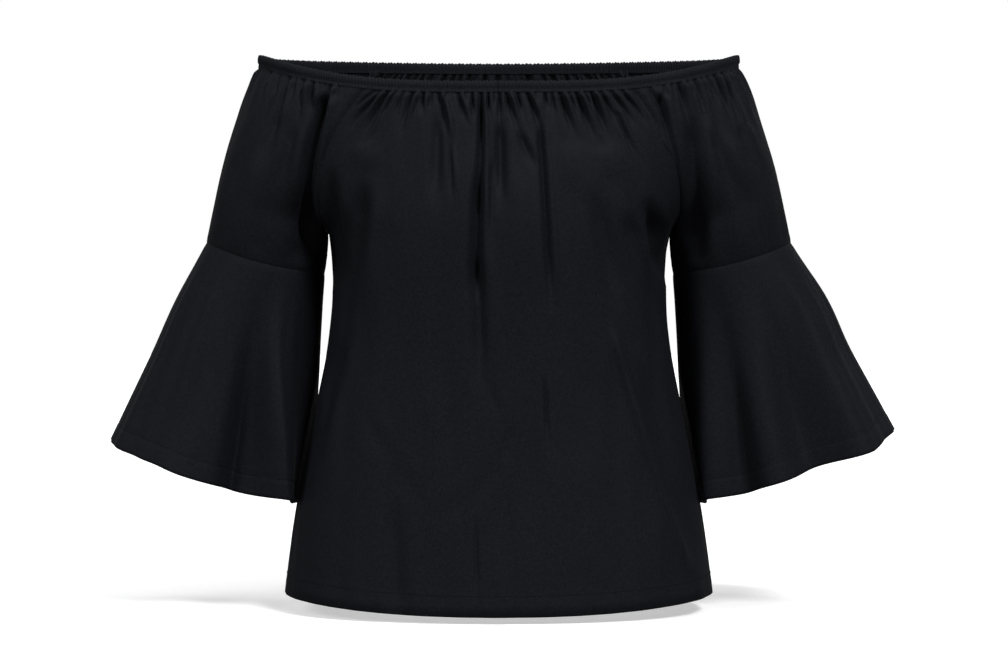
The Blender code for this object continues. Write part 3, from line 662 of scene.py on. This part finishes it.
def lineAbove(grid, fromHem, distance):
    # The values of a grid along the line that lies a distance above its last row
    columns = np.arange(grid.shape[1])
    first = np.clip(np.sum(fromHem > distance, axis=0) - 1, 0, grid.shape[0] - 2)
    near, far = fromHem[first, columns], fromHem[first + 1, columns]
    share = np.clip((near - distance) / (near - far), 0, 1)[:, None]
    return grid[first, columns] * (1 - share) + grid[first + 1, columns] * share


turnedHem = {"depth": 0.018, "inside": 0.00095, "curl": 0.0004, "lines": (0.0015, 0.006, 0.012, 0.0178)}


def withHem(points, normals, uvs, fromHem):
    # The hem is turned up inside: the edge curls round and the cloth runs back up to the stitches
    down = points[-1] - points[-2]
    down /= np.linalg.norm(down, axis=-1, keepdims=True)
    inside = turnedHem["inside"]
    lines = [points[-1] - normals[-1] * inside / 2 + down * turnedHem["curl"], points[-1] - normals[-1] * inside]
    flat = [uvs[-1] - (0, turnedHem["curl"]), uvs[-1] - (0, inside)]
    for distance in turnedHem["lines"]:
        lines.append(lineAbove(points, fromHem, distance) - lineAbove(normals, fromHem, distance) * inside)
        flat.append(uvs[-1] - (0, inside + distance))
    count = len(lines)
    points = np.concatenate([points, np.stack(lines)])
    normals = np.concatenate([normals, np.repeat(normals[-1:], count, axis=0)])
    return points, normals, np.concatenate([uvs, np.stack(flat)])


def tuckedUp(points, normals, uvs, height):
    # One more line at the top, inside the band
    raised = points[:1] + (0, 0, height)
    return (
        np.concatenate([raised, points]),
        np.concatenate([normals[:1], normals]),
        np.concatenate([uvs[:1] + (0, height), uvs]),
    )


def gridQuads(rows, columns, closed, turned):
    # Corner numbers of each cell. A closed grid joins its last column to its first
    spans = columns if closed else columns - 1
    row, column = np.meshgrid(np.arange(rows - 1), np.arange(spans), indexing="ij")
    following = (column + 1) % columns
    quads = np.stack(
        [
            row * columns + column,
            (row + 1) * columns + column,
            (row + 1) * columns + following,
            row * columns + following,
        ],
        axis=-1,
    ).reshape(-1, 4)
    return quads[:, ::-1] if turned else quads


def addMesh(name, points, quads, material, uvs=None):
    mesh = bpy.data.meshes.new(name)
    mesh.from_pydata(points.reshape(-1, 3), [], quads.tolist())
    if uvs is not None:
        layer = mesh.uv_layers.new(name="cloth")
        loops = np.empty(len(mesh.loops), dtype=np.int32)
        mesh.loops.foreach_get("vertex_index", loops)
        layer.data.foreach_set("uv", uvs.reshape(-1, 2)[loops].astype(np.float32).ravel())
    mesh.shade_smooth()
    mesh.materials.append(material)
    piece = bpy.data.objects.new(name, mesh)
    bpy.context.collection.objects.link(piece)
    return piece


clothWall = {"thickness": 0.0009}


def addCloth(name, points, closed, turned, material, uvs):
    # A sheet of quads with the cloth's thickness, half of it to each side
    rows, columns = points.shape[:2]
    piece = addMesh(name, points, gridQuads(rows, columns, closed, turned), material, uvs)
    wall = piece.modifiers.new("wall", "SOLIDIFY")
    wall.thickness = clothWall["thickness"]
    wall.offset = 0.0
    return piece


# Finish of the cloth

cloth = {
    "colour": (0.0068, 0.0073, 0.0097, 1.0),
    "lighter": (0.0104, 0.0109, 0.0139, 1.0),
    "bandColour": (0.0095, 0.0101, 0.0130, 1.0),  # the stretched cloth of the band looks lighter
    "bandLighter": (0.0145, 0.0151, 0.0188, 1.0),
    "roughness": 0.60,
    "specular": 0.045,
    "sheen": 0.012,
    "sheenRoughness": 0.35,
    "sheenTint": (0.75, 0.78, 0.85, 1.0),
    "crepeSize": 0.0009,
    "crepeDepth": 0.00012,
    "threadSize": 0.00045,
    "threadDepth": 0.00005,
}


def clothMaterial(name, colour, lighter):
    # Black crepe jersey: a pebbled crepe surface and fine knit courses as bump, and a slow mottle
    # between two near blacks
    material = bpy.data.materials.new(name)
    material.use_nodes = True
    nodes, links = material.node_tree.nodes, material.node_tree.links
    shader = nodes["Principled BSDF"]
    shader.inputs["Specular IOR Level"].default_value = cloth["specular"]
    shader.inputs["Sheen Weight"].default_value = cloth["sheen"]
    shader.inputs["Sheen Roughness"].default_value = cloth["sheenRoughness"]
    shader.inputs["Sheen Tint"].default_value = cloth["sheenTint"]

    place = nodes.new("ShaderNodeTexCoord")
    mottle = nodes.new("ShaderNodeTexNoise")
    mottle.inputs["Scale"].default_value = 520.0
    mottle.inputs["Detail"].default_value = 6.0
    spread = nodes.new("ShaderNodeMapRange")
    spread.inputs["From Min"].default_value = 0.35
    spread.inputs["From Max"].default_value = 0.65
    links.new(place.outputs["Object"], mottle.inputs["Vector"])
    shades = nodes.new("ShaderNodeMix")
    shades.data_type = "RGBA"
    shades.inputs["A"].default_value = colour
    shades.inputs["B"].default_value = lighter
    links.new(mottle.outputs["Fac"], spread.inputs["Value"])
    links.new(spread.outputs["Result"], shades.inputs["Factor"])
    links.new(shades.outputs["Result"], shader.inputs["Base Color"])

    rough = nodes.new("ShaderNodeMapRange")
    rough.inputs["From Min"].default_value = 0.3
    rough.inputs["From Max"].default_value = 0.7
    rough.inputs["To Min"].default_value = cloth["roughness"] - 0.05
    rough.inputs["To Max"].default_value = cloth["roughness"] + 0.05
    links.new(mottle.outputs["Fac"], rough.inputs["Value"])
    links.new(rough.outputs["Result"], shader.inputs["Roughness"])

    flat = nodes.new("ShaderNodeUVMap")
    flat.uv_map = "cloth"
    crepe = nodes.new("ShaderNodeTexNoise")
    crepe.inputs["Scale"].default_value = 1 / cloth["crepeSize"]
    crepe.inputs["Detail"].default_value = 3.0
    crepe.inputs["Roughness"].default_value = 0.6
    links.new(flat.outputs["UV"], crepe.inputs["Vector"])
    crepeBump = nodes.new("ShaderNodeBump")
    crepeBump.inputs["Strength"].default_value = 0.8
    crepeBump.inputs["Distance"].default_value = cloth["crepeDepth"]
    links.new(crepe.outputs["Fac"], crepeBump.inputs["Height"])

    courses = nodes.new("ShaderNodeTexWave")
    courses.wave_type = "BANDS"
    courses.bands_direction = "Y"
    courses.inputs["Scale"].default_value = 2 * math.pi / 20 / cloth["threadSize"]
    courses.inputs["Distortion"].default_value = 1.5
    courses.inputs["Detail Scale"].default_value = 2.0
    links.new(flat.outputs["UV"], courses.inputs["Vector"])
    courseBump = nodes.new("ShaderNodeBump")
    courseBump.inputs["Strength"].default_value = 0.6
    courseBump.inputs["Distance"].default_value = cloth["threadDepth"]
    links.new(courses.outputs["Fac"], courseBump.inputs["Height"])
    links.new(crepeBump.outputs["Normal"], courseBump.inputs["Normal"])
    links.new(courseBump.outputs["Normal"], shader.inputs["Normal"])
    return material


# Body panels

panels = {
    "columns": 430,
    "topRows": 30,  # between the band and a little above the armpit
    "topShare": 0.42,
    "midRows": 28,
    "lowRows": 46,
    "closer": 1.4,  # how much closer the rows lie at the armpit
    "puff": 0.0016,  # how far the cloth between the creases stands out
    "seamDip": 0.0011,  # how far an edge turns in at its seam
    "seamReach": 0.0028,
    "pucker": 0.00012,
    "puckerPitch": 0.0075,
    "puckerReach": 0.010,
    "hemGroove": 0.0005,
    "hemGrooveWidth": 0.0012,
    "unevenness": 0.0005,
    "unevennessSize": 0.055,
    "tuck": 0.0028,
}

finished = {}  # each piece's final grid and normals, for the stitching


def seamShape(distance, alongSeam, seed):
    # An edge turns in towards its seam with a bell curve of the distance, and small puckers run
    # away from it
    dip = -panels["seamDip"] * np.exp(-((distance / panels["seamReach"]) ** 2))
    wave = np.sin(2 * math.pi * alongSeam / panels["puckerPitch"] + 2.5 * np.sin(alongSeam * 41 + seed))
    return dip + panels["pucker"] * wave * np.exp(-distance / panels["puckerReach"]) * ease(distance / 0.002)


def rowPlaces(lowRows):
    # Shares of the length at which a panel's or sleeve's rows lie, 1 at the armpit, with powers
    # that bring them closer there. Both have the same rows down the raglan seam they share
    closer, topShare = panels["closer"], panels["topShare"]
    top = np.linspace(0, topShare, panels["topRows"], endpoint=False)
    mid = 1 - (1 - topShare) * np.linspace(1, 0, panels["midRows"], endpoint=False) ** closer
    return np.concatenate([top, mid, 1 + np.linspace(0, 1, lowRows) ** closer])


def armpitCalm(down):
    # 0 round the armpit, where the pieces meet at a sharp angle and a groove would part them
    return 1 - ease((down - 0.30) / 0.35) * ease((1.35 - down) / 0.25)


def hemShape(distance):
    # A stitched groove above the edge, and below it the doubled cloth stands out by a little
    groove = np.exp(-(((distance - turnedHem["depth"]) / panels["hemGrooveWidth"]) ** 2))
    return -panels["hemGroove"] * groove + 0.0002 * ease((turnedHem["depth"] - distance) / 0.002)


def addPanel(name, back, material):
    rows = rowPlaces(panels["lowRows"])
    down, across = np.meshgrid(rows, np.linspace(-1, 1, panels["columns"]), indexing="ij")
    base = withoutKinks(np.stack(panelForm(down, across, back), axis=-1), sideCalm(across))
    x, y, z = np.moveaxis(base, -1, 0)
    widths, lengths = arcLengths(base, 1), arcLengths(base, 0)
    halfArc = widths[:, -1:] / 2
    middle = widths - halfArc
    drop = z[:1] - z
    fromSide = halfArc - np.abs(middle)
    fromHem = lengths[-1:] - lengths

    out = gatherWaves(name, across, drop) * (0.7 if back else 0.35)
    out += longFolds(foldTables[name], x, z) * sideCalm(across)
    if back:
        pinches = spreadCreases(name, across, drop, halfArc)
    else:
        pinches = creases(creaseTables[name], x, z)
    out += (pinches + panels["puff"] * (1 - ease(drop / 0.05))) * sideCalm(across)
    seed = 11 if back else 4
    out += panels["unevenness"] * softNoise(middle * 1.5, lengths * 0.3, panels["unevennessSize"], seed) * ease(drop / 0.05) * sideCalm(across)
    out += seamShape(fromSide, lengths, seed) * armpitCalm(down)
    out += hemShape(fromHem)
    out *= ease(drop / 0.004) * 0.75 + 0.25
    points = base + out[..., None] * outward(x, y, z, back)
    normals = outward(*np.moveaxis(points, -1, 0), back)
    finished[name] = {"points": points, "normals": normals, "fromHem": fromHem}
    sheet = withHem(points, normals, np.stack([middle, -lengths], axis=-1), fromHem)
    sheet = turnedIn(*sheet, 1, False)
    sheet = turnedIn(*sheet, 1, True)
    points, normals, uvs = tuckedUp(*sheet, panels["tuck"])
    return addCloth(name + "Cloth", points, False, back, material, uvs)


# Sleeves

sleeves = {"columns": 300, "lowRows": 20, "calm": 0.5, "creaseShare": 0.6}


def addSleeve(name, side, material):
    rows = rowPlaces(sleeves["lowRows"])
    down, around = np.meshgrid(rows, np.linspace(-1, 1, sleeves["columns"]), indexing="ij")
    base = withoutKinks(np.stack(sleeveForm(down, around), axis=-1), sideCalm(around))
    x, y, z = np.moveaxis(base, -1, 0)
    widths, lengths = arcLengths(base, 1), arcLengths(base, 0)
    halfArc = widths[:, -1:] / 2
    middle = widths - halfArc
    drop = z[:1] - z
    calm = sideCalm(around) * ease((2 - down) / sleeves["calm"])
    frontOnly = 1 - ease((around + 0.25) / 0.3)
    out = gatherWaves(name, around, drop) * 0.5
    out += longFolds(foldTables[name], x, z) * calm * frontOnly
    out += creases(creaseTables[name], x, z) * frontOnly * ease((2 - down) / sleeves["calm"])
    out += spreadCreases(name, around, drop, halfArc) * sideCalm(around) * sleeves["creaseShare"]
    out += panels["puff"] * (1 - ease(drop / 0.05)) * calm
    seed = 21 if side > 0 else 27
    out += panels["unevenness"] * softNoise(middle * 1.3, lengths * 0.35, 0.04, seed) * ease(drop / 0.04) * calm
    out += seamShape(halfArc - np.abs(middle), lengths, seed) * armpitCalm(down)
    out += seamShape(lengths[-1:] - lengths, middle, seed + 1) * flounces["seamShare"]
    out *= ease(drop / 0.004) * 0.75 + 0.25
    points = base + out[..., None] * outward(x, y, z, False)
    normals = outward(*np.moveaxis(points, -1, 0), False)
    sheet = (points, normals, np.stack([middle, -lengths], axis=-1))
    for axis, last in ((0, True), (1, False), (1, True)):
        sheet = turnedIn(*sheet, axis, last)
    points, normals, uvs = tuckedUp(*sheet, panels["tuck"])
    points[..., 0] *= side
    return addCloth(name + "Cloth", points, False, side < 0, material, uvs)


# Flounces

flounces = {
    "columns": 300,
    "rows": 84,
    "unevenness": 0.0009,
    "unevennessSize": 0.06,
    "growth": 0.8,  # the share of its length over which a fold gets its full depth
    "seamShare": 0.4,  # of the depth that the other seams have
}


# Folds of the flounces, 1 for the wearer's left: degrees from the outer edge at the seam and at the
# hem, how far out and how wide, a lip towards the greater angle where positive, and the share of
# the length at which it starts
flounceFolds = {
    1: table(
        "topAt footAt out halfWidth lip start",
        (-66, -83, -0.0090, 14, 0.2, 0.02),
        (-108, -121, -0.0055, 6, -0.4, 0.35),
        (-128, -136, 0.0050, 9, 0.0, 0.10),
        (-96, -102, 0.0035, 9, 0.0, 0.20),
        (-40, -52, 0.0045, 12, 0.0, 0.10),
        (52, 60, -0.0070, 12, 0.2, 0.10),
        (88, 92, 0.0045, 10, 0.0, 0.20),
        (110, 118, -0.0060, 9, 0.2, 0.20),
    ),
    -1: table(
        "topAt footAt out halfWidth lip start",
        (-94, -110, -0.0150, 10, -0.8, 0.0),
        (-103, -119, -0.0060, 4.5, -0.6, 0.15),
        (-124, -136, 0.0050, 10, 0.0, 0.10),
        (-80, -63, -0.0035, 9, 0.0, 0.30),
        (-62, -46, -0.0024, 7, 0.0, 0.45),
        (48, 56, -0.0080, 12, 0.2, 0.08),
        (84, 88, 0.0045, 10, 0.0, 0.20),
        (108, 116, -0.0065, 9, 0.2, 0.20),
    ),
}


def flounceRipple(down, turn, side):
    # Bell curves of the angle whose middles drift from the seam to the hem, growing as they drop
    ripple = np.zeros_like(turn)
    for topAt, footAt, out, halfWidth, lip, start in zip(*flounceFolds[side].values()):
        off = np.degrees(turn) - (topAt + (footAt - topAt) * down)
        ripple += out * ease((down - start) / (1 - start) / flounces["growth"]) * bell(off, halfWidth, lip)
    return ripple


def addFlounce(name, side, material):
    down, turn = np.meshgrid(
        np.linspace(0, 1, flounces["rows"]),
        np.linspace(-math.pi, math.pi, flounces["columns"], endpoint=False),
        indexing="ij",
    )
    seed = 33 if side > 0 else 38
    x, y, z = flounceFormAt(down, turn, side, flounceRipple(down, turn, side))
    z = z - flounceForm["drop"] * (1 - ease(down / 0.1))
    base = np.stack([x, y, z], axis=-1)
    closedBase = np.concatenate([base, base[:, :1]], axis=1)
    widths, lengths = arcLengths(closedBase, 1)[:, :-1], arcLengths(base, 0)
    around = np.stack([np.cos(turn), np.sin(turn)]) * 0.07
    fromHem = lengths[-1:] - lengths
    clear = ease((np.degrees(np.abs(turn)) - 140) / -20)
    noise = softNoise(around[0] * 3 + lengths * 0.15, around[1] * 3, flounces["unevennessSize"], seed)
    out = flounces["unevenness"] * noise * ease(down / 0.3) * clear
    out += seamShape(lengths, widths, seed) * flounces["seamShare"]
    out += hemShape(fromHem)
    wrapped = np.stack([x, y, z], axis=-1)
    padded = np.concatenate([wrapped[:, -1:], wrapped, wrapped[:, :1]], axis=1)
    normals = outward(*np.moveaxis(padded, -1, 0), False)[:, 1:-1]
    points = base + out[..., None] * normals
    finished[name] = {"points": points * (side, 1, 1), "normals": normals * (side, 1, 1), "fromHem": fromHem}
    sheet = withHem(points, normals, np.stack([widths, -lengths], axis=-1), fromHem)
    points, normals, uvs = turnedIn(*sheet, 0, False)
    points[..., 0] *= side
    return addCloth(name + "Cloth", points, True, side < 0, material, uvs)


# Neckband

band = {
    "ribs": 412,
    "columnsPerRib": 6,
    "halfWall": 0.0013,
    "ribDepth": 0.00045,
    "ruffle": 0.0006,
    "stitchLine": 0.30,  # share of the height from the lower edge
    "stitchGroove": 0.0006,
    "profilePoints": 26,
}


def addNeckband(name, material):
    # A rounded band section carried round the ring. Ribs are waves along it, strongest in its
    # upper part and weaker below the stitch line. The ribs' pitch and depth wander by slow sines
    columns = band["ribs"] * band["columnsPerRib"]
    turn = np.linspace(0, 2 * math.pi, columns, endpoint=False)[:, None]
    spin = np.linspace(0, 2 * math.pi, band["profilePoints"], endpoint=False)[None, :]
    squareOut = np.sign(np.cos(spin)) * np.abs(np.cos(spin)) ** 0.35
    squareUp = np.sign(np.sin(spin)) * np.abs(np.sin(spin)) ** 0.75
    up = (squareUp + 1) / 2
    depth = np.where(np.cos(turn) > 0, neckline["front"], neckline["back"])
    outX, outY = depth * np.sin(turn), -neckline["halfWidth"] * np.cos(turn)
    size = np.hypot(outX, outY)
    phase = band["ribs"] * turn + 1.9 * np.sin(7 * turn + 0.4) + 1.2 * np.sin(19 * turn + 2.0) + 0.8 * np.sin(43 * turn)
    rib = np.sin(phase)
    strength = 1 + 0.35 * np.sin(5 * turn + 1.0) + 0.25 * np.sin(23 * turn)
    zone = 0.35 + 0.65 * ease((up - band["stitchLine"]) / 0.12)
    groove = np.exp(-(((up - band["stitchLine"]) / 0.07) ** 2)) * (squareOut > 0)
    bulge = 0.35 * np.sin(math.pi * np.clip((up - band["stitchLine"]) / (1 - band["stitchLine"]), 0, 1))
    out = band["halfWall"] * squareOut * (1 + bulge)
    out = out + np.sign(squareOut) * band["ribDepth"] * rib * strength * zone - band["stitchGroove"] * groove
    x = neckline["halfWidth"] * np.sin(turn) + out * outX / size
    y = -depth * np.cos(turn) + out * outY / size
    z = ringTop(turn) - bandHeight(turn) * (1 - up)
    z = z + band["ruffle"] * (np.sin(phase + 0.7) * 0.6 + 0.4 * np.sin(phase * 0.37)) * ease((up - 0.75) / 0.25)
    points = np.stack([x, y, z], axis=-1)
    lengths = arcLengths(points, 0)
    girth = arcLengths(points, 1)
    quads = gridQuads(columns, band["profilePoints"], True, True)
    last = columns - 1
    corner = np.arange(band["profilePoints"])
    following = (corner + 1) % band["profilePoints"]
    width = band["profilePoints"]
    closing = np.stack([corner, last * width + corner, last * width + following, following], axis=-1)
    quads = np.concatenate([quads, closing[:, ::-1]])
    uvs = np.stack([lengths, girth], axis=-1)
    return addMesh(name + "Cloth", points, quads[:, ::-1], material, uvs)


# Stitches

stitches = {"pitch": 0.0032, "length": 0.0026, "radius": 0.00022, "sides": 6}


def stitchRow(points, normals):
    # Thread capsules along a line: each has four rings of a few corners, narrow at its ends
    steps = np.linalg.norm(np.diff(points, axis=0), axis=1)
    lengths = np.concatenate([[0], np.cumsum(steps)])
    count = int(lengths[-1] / stitches["pitch"])
    at = (np.arange(count) + 0.5) * stitches["pitch"]
    centre = np.stack([np.interp(at, lengths, points[:, i]) for i in range(3)], axis=-1)
    ahead = np.stack([np.interp(at + 0.0008, lengths, points[:, i]) for i in range(3)], axis=-1)
    normal = np.stack([np.interp(at, lengths, normals[:, i]) for i in range(3)], axis=-1)
    along = ahead - centre
    along /= np.linalg.norm(along, axis=1, keepdims=True)
    across = np.cross(along, normal)
    across /= np.linalg.norm(across, axis=1, keepdims=True)
    normal = np.cross(across, along)
    ringPlace = np.array([-0.5, -0.3, 0.3, 0.5]) * stitches["length"]
    ringSize = np.array([0.45, 1.0, 1.0, 0.45]) * stitches["radius"]
    ringLift = np.array([0.0, 1.0, 1.0, 0.0]) * stitches["radius"] + 0.0005
    spin = np.linspace(0, 2 * math.pi, stitches["sides"], endpoint=False)
    corners = (
        centre[:, None, None]
        + along[:, None, None] * ringPlace[None, :, None, None]
        + normal[:, None, None] * (ringLift[:, None] + ringSize[:, None] * np.sin(spin))[None, ..., None]
        + across[:, None, None] * (ringSize[:, None] * np.cos(spin))[None, ..., None]
    )
    return corners


def addStitching(name, lines, material):
    rings, sides = 4, stitches["sides"]
    corners = np.concatenate([stitchRow(*line) for line in lines])
    count = len(corners)
    tube = gridQuads(rings, sides, True, False)
    each = rings * sides
    quads = (tube[None] + (np.arange(count) * each)[:, None, None]).reshape(-1, 4)
    caps = np.array([[0, 1, 2, 3], [0, 3, 4, 5]])
    far = (caps + (rings - 1) * sides)[:, ::-1]
    ends = (np.concatenate([caps, far])[None] + (np.arange(count) * each)[:, None, None]).reshape(-1, 4)
    return addMesh(name, corners, np.concatenate([quads, ends]), material)


def hemLine(name):
    # The line of a finished piece that lies the hem's depth above its edge
    grid = finished[name]
    place = (grid["fromHem"], turnedHem["depth"])
    return lineAbove(grid["points"], *place), lineAbove(grid["normals"], *place)


threadFinish = {"colour": (0.0085, 0.0090, 0.0115, 1.0), "roughness": 0.7, "twist": 0.0006}


def threadMaterial():
    # Polyester thread: its twist is a fine diagonal wave of bump
    material = bpy.data.materials.new("blackThread")
    material.use_nodes = True
    nodes, links = material.node_tree.nodes, material.node_tree.links
    shader = nodes["Principled BSDF"]
    shader.inputs["Base Color"].default_value = threadFinish["colour"]
    shader.inputs["Roughness"].default_value = threadFinish["roughness"]
    shader.inputs["Specular IOR Level"].default_value = 0.1
    place = nodes.new("ShaderNodeTexCoord")
    twist = nodes.new("ShaderNodeTexWave")
    twist.bands_direction = "DIAGONAL"
    twist.inputs["Scale"].default_value = 2 * math.pi / 20 / threadFinish["twist"]
    links.new(place.outputs["Object"], twist.inputs["Vector"])
    bump = nodes.new("ShaderNodeBump")
    bump.inputs["Distance"].default_value = 0.00005
    links.new(twist.outputs["Fac"], bump.inputs["Height"])
    links.new(bump.outputs["Normal"], shader.inputs["Normal"])
    return material


crepe = clothMaterial("blackCrepe", cloth["colour"], cloth["lighter"])
bandCrepe = clothMaterial("blackCrepeBand", cloth["bandColour"], cloth["bandLighter"])
thread = threadMaterial()

frontCloth = addPanel("front", False, crepe)
backCloth = addPanel("back", True, crepe)
print("front and back made")
sleeveLeftCloth = addSleeve("sleeve_left", 1, crepe)
sleeveRightCloth = addSleeve("sleeve_right", -1, crepe)
flounceLeftCloth = addFlounce("flounce_left", 1, crepe)
flounceRightCloth = addFlounce("flounce_right", -1, crepe)
print("sleeves and flounces made")
neckbandCloth = addNeckband("neckband", bandCrepe)
hemStitching = addStitching("hemStitching", [hemLine("front"), hemLine("back")], thread)
flounceStitchingLeft = addStitching("flounceStitchingLeft", [hemLine("flounce_left")], thread)
flounceStitchingRight = addStitching("flounceStitchingRight", [hemLine("flounce_right")], thread)
print("neckband and stitching made")

# Each piece's cut, in metres, before it was gathered: width, length and flat area
cuts = {
    "front": (frontCloth, (0.52, 0.49), 0.222, "gathered", ["neckband"], [neckbandCloth, hemStitching]),
    "back": (backCloth, (0.52, 0.50), 0.222, "gathered", ["neckband"], []),
    "sleeve_left": (sleeveLeftCloth, (0.38, 0.20), 0.062, "gathered", ["neckband"], []),
    "sleeve_right": (sleeveRightCloth, (0.38, 0.20), 0.062, "gathered", ["neckband"], []),
    "flounce_left": (flounceLeftCloth, (0.52, 0.40), 0.100, "hung", ["sleeve_left"], [flounceStitchingLeft]),
    "flounce_right": (flounceRightCloth, (0.52, 0.40), 0.100, "hung", ["sleeve_right"], [flounceStitchingRight]),
}
for node, (piece, flat, area, held, restsOn, withPieces) in cuts.items():
    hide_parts(node)
    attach(piece, "root")
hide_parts("neckband")
for piece in (neckbandCloth, hemStitching, flounceStitchingLeft, flounceStitchingRight):
    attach(piece, "root")


# Studio

studio = {
    "floorZ": -0.4955,
    "floorSize": 60.0,
    "floorColour": (0.85, 0.85, 0.85, 1.0),
    "floorBounce": (0.22, 0.22, 0.22, 1.0),
    "floorGlow": 0.45,
    "worldLight": 0.11,
    "cameraPlace": (0.00483, -2.2, -0.2447),
    "lens": 85.4,
}
# Softboxes far enough off to be even over the scene: degrees to the right of the camera and above
# the floor, width in degrees, and strength
softboxes = {
    "overhead": (0, 80, 50, 1.25),
    "keyRight": (33, 43, 14, 2.25),
    "fillLeft": (-46, 30, 22, 1.08),
    "rimRight": (145, 24, 20, 0.1),
    "rimLeft": (-145, 24, 20, 0.06),
}


def addFloor():
    # Pale paper. To the camera it glows a little, so that only the shadow near the hem shows, and
    # it throws less light back at the cloth than it shows
    half = studio["floorSize"] / 2
    corners = np.array([(-half, -half, 0), (half, -half, 0), (half, half, 0), (-half, half, 0)])
    corners = corners + (0, 0, studio["floorZ"])
    material = bpy.data.materials.new("paleFloor")
    material.use_nodes = True
    nodes, links = material.node_tree.nodes, material.node_tree.links
    shown = nodes["Principled BSDF"]
    shown.inputs["Base Color"].default_value = studio["floorColour"]
    shown.inputs["Roughness"].default_value = 0.9
    shown.inputs["Specular IOR Level"].default_value = 0.0
    shown.inputs["Emission Color"].default_value = (1, 1, 1, 1)
    shown.inputs["Emission Strength"].default_value = studio["floorGlow"]
    bounce = nodes.new("ShaderNodeBsdfDiffuse")
    bounce.inputs["Color"].default_value = studio["floorBounce"]
    path = nodes.new("ShaderNodeLightPath")
    choose = nodes.new("ShaderNodeMixShader")
    links.new(path.outputs["Is Camera Ray"], choose.inputs["Fac"])
    links.new(bounce.outputs["BSDF"], choose.inputs[1])
    links.new(shown.outputs["BSDF"], choose.inputs[2])
    links.new(choose.outputs["Shader"], nodes["Material Output"].inputs["Surface"])
    floor = addMesh("floor", corners, np.array([[0, 1, 2, 3]]), material)


def addWorld():
    # White to the camera, and a softer light on the cloth
    world = bpy.data.worlds.new("paleStudio")
    bpy.context.scene.world = world
    world.use_nodes = True
    nodes, links = world.node_tree.nodes, world.node_tree.links
    shown = nodes["Background"]
    shown.inputs["Color"].default_value = (1, 1, 1, 1)
    shown.inputs["Strength"].default_value = 1.0
    lit = nodes.new("ShaderNodeBackground")
    lit.inputs["Color"].default_value = (1, 1, 1, 1)
    lit.inputs["Strength"].default_value = studio["worldLight"]
    path = nodes.new("ShaderNodeLightPath")
    choose = nodes.new("ShaderNodeMixShader")
    links.new(path.outputs["Is Camera Ray"], choose.inputs["Fac"])
    links.new(lit.outputs["Background"], choose.inputs[1])
    links.new(shown.outputs["Background"], choose.inputs[2])
    links.new(choose.outputs["Shader"], nodes["World Output"].inputs["Surface"])


def addSoftbox(name, right, above, width, strength):
    light = bpy.data.lights.new(name, "SUN")
    light.angle = math.radians(width)
    light.energy = strength
    lamp = bpy.data.objects.new(name, light)
    lamp.rotation_euler = (math.radians(90 - above), 0, math.radians(right))
    bpy.context.collection.objects.link(lamp)


def addCamera():
    camera = bpy.data.objects.new("camera", bpy.data.cameras.new("camera"))
    camera.data.sensor_width = 36.0
    camera.data.lens = studio["lens"]
    camera.data.clip_end = 100.0
    camera.location = studio["cameraPlace"]
    camera.rotation_euler = (math.radians(90), 0, 0)
    bpy.context.collection.objects.link(camera)
    bpy.context.scene.camera = camera


addFloor()
addWorld()
for name, (right, above, width, strength) in softboxes.items():
    addSoftbox(name, right, above, width, strength)
addCamera()
bpy.context.scene.view_settings.view_transform = "Standard"
print("studio made")
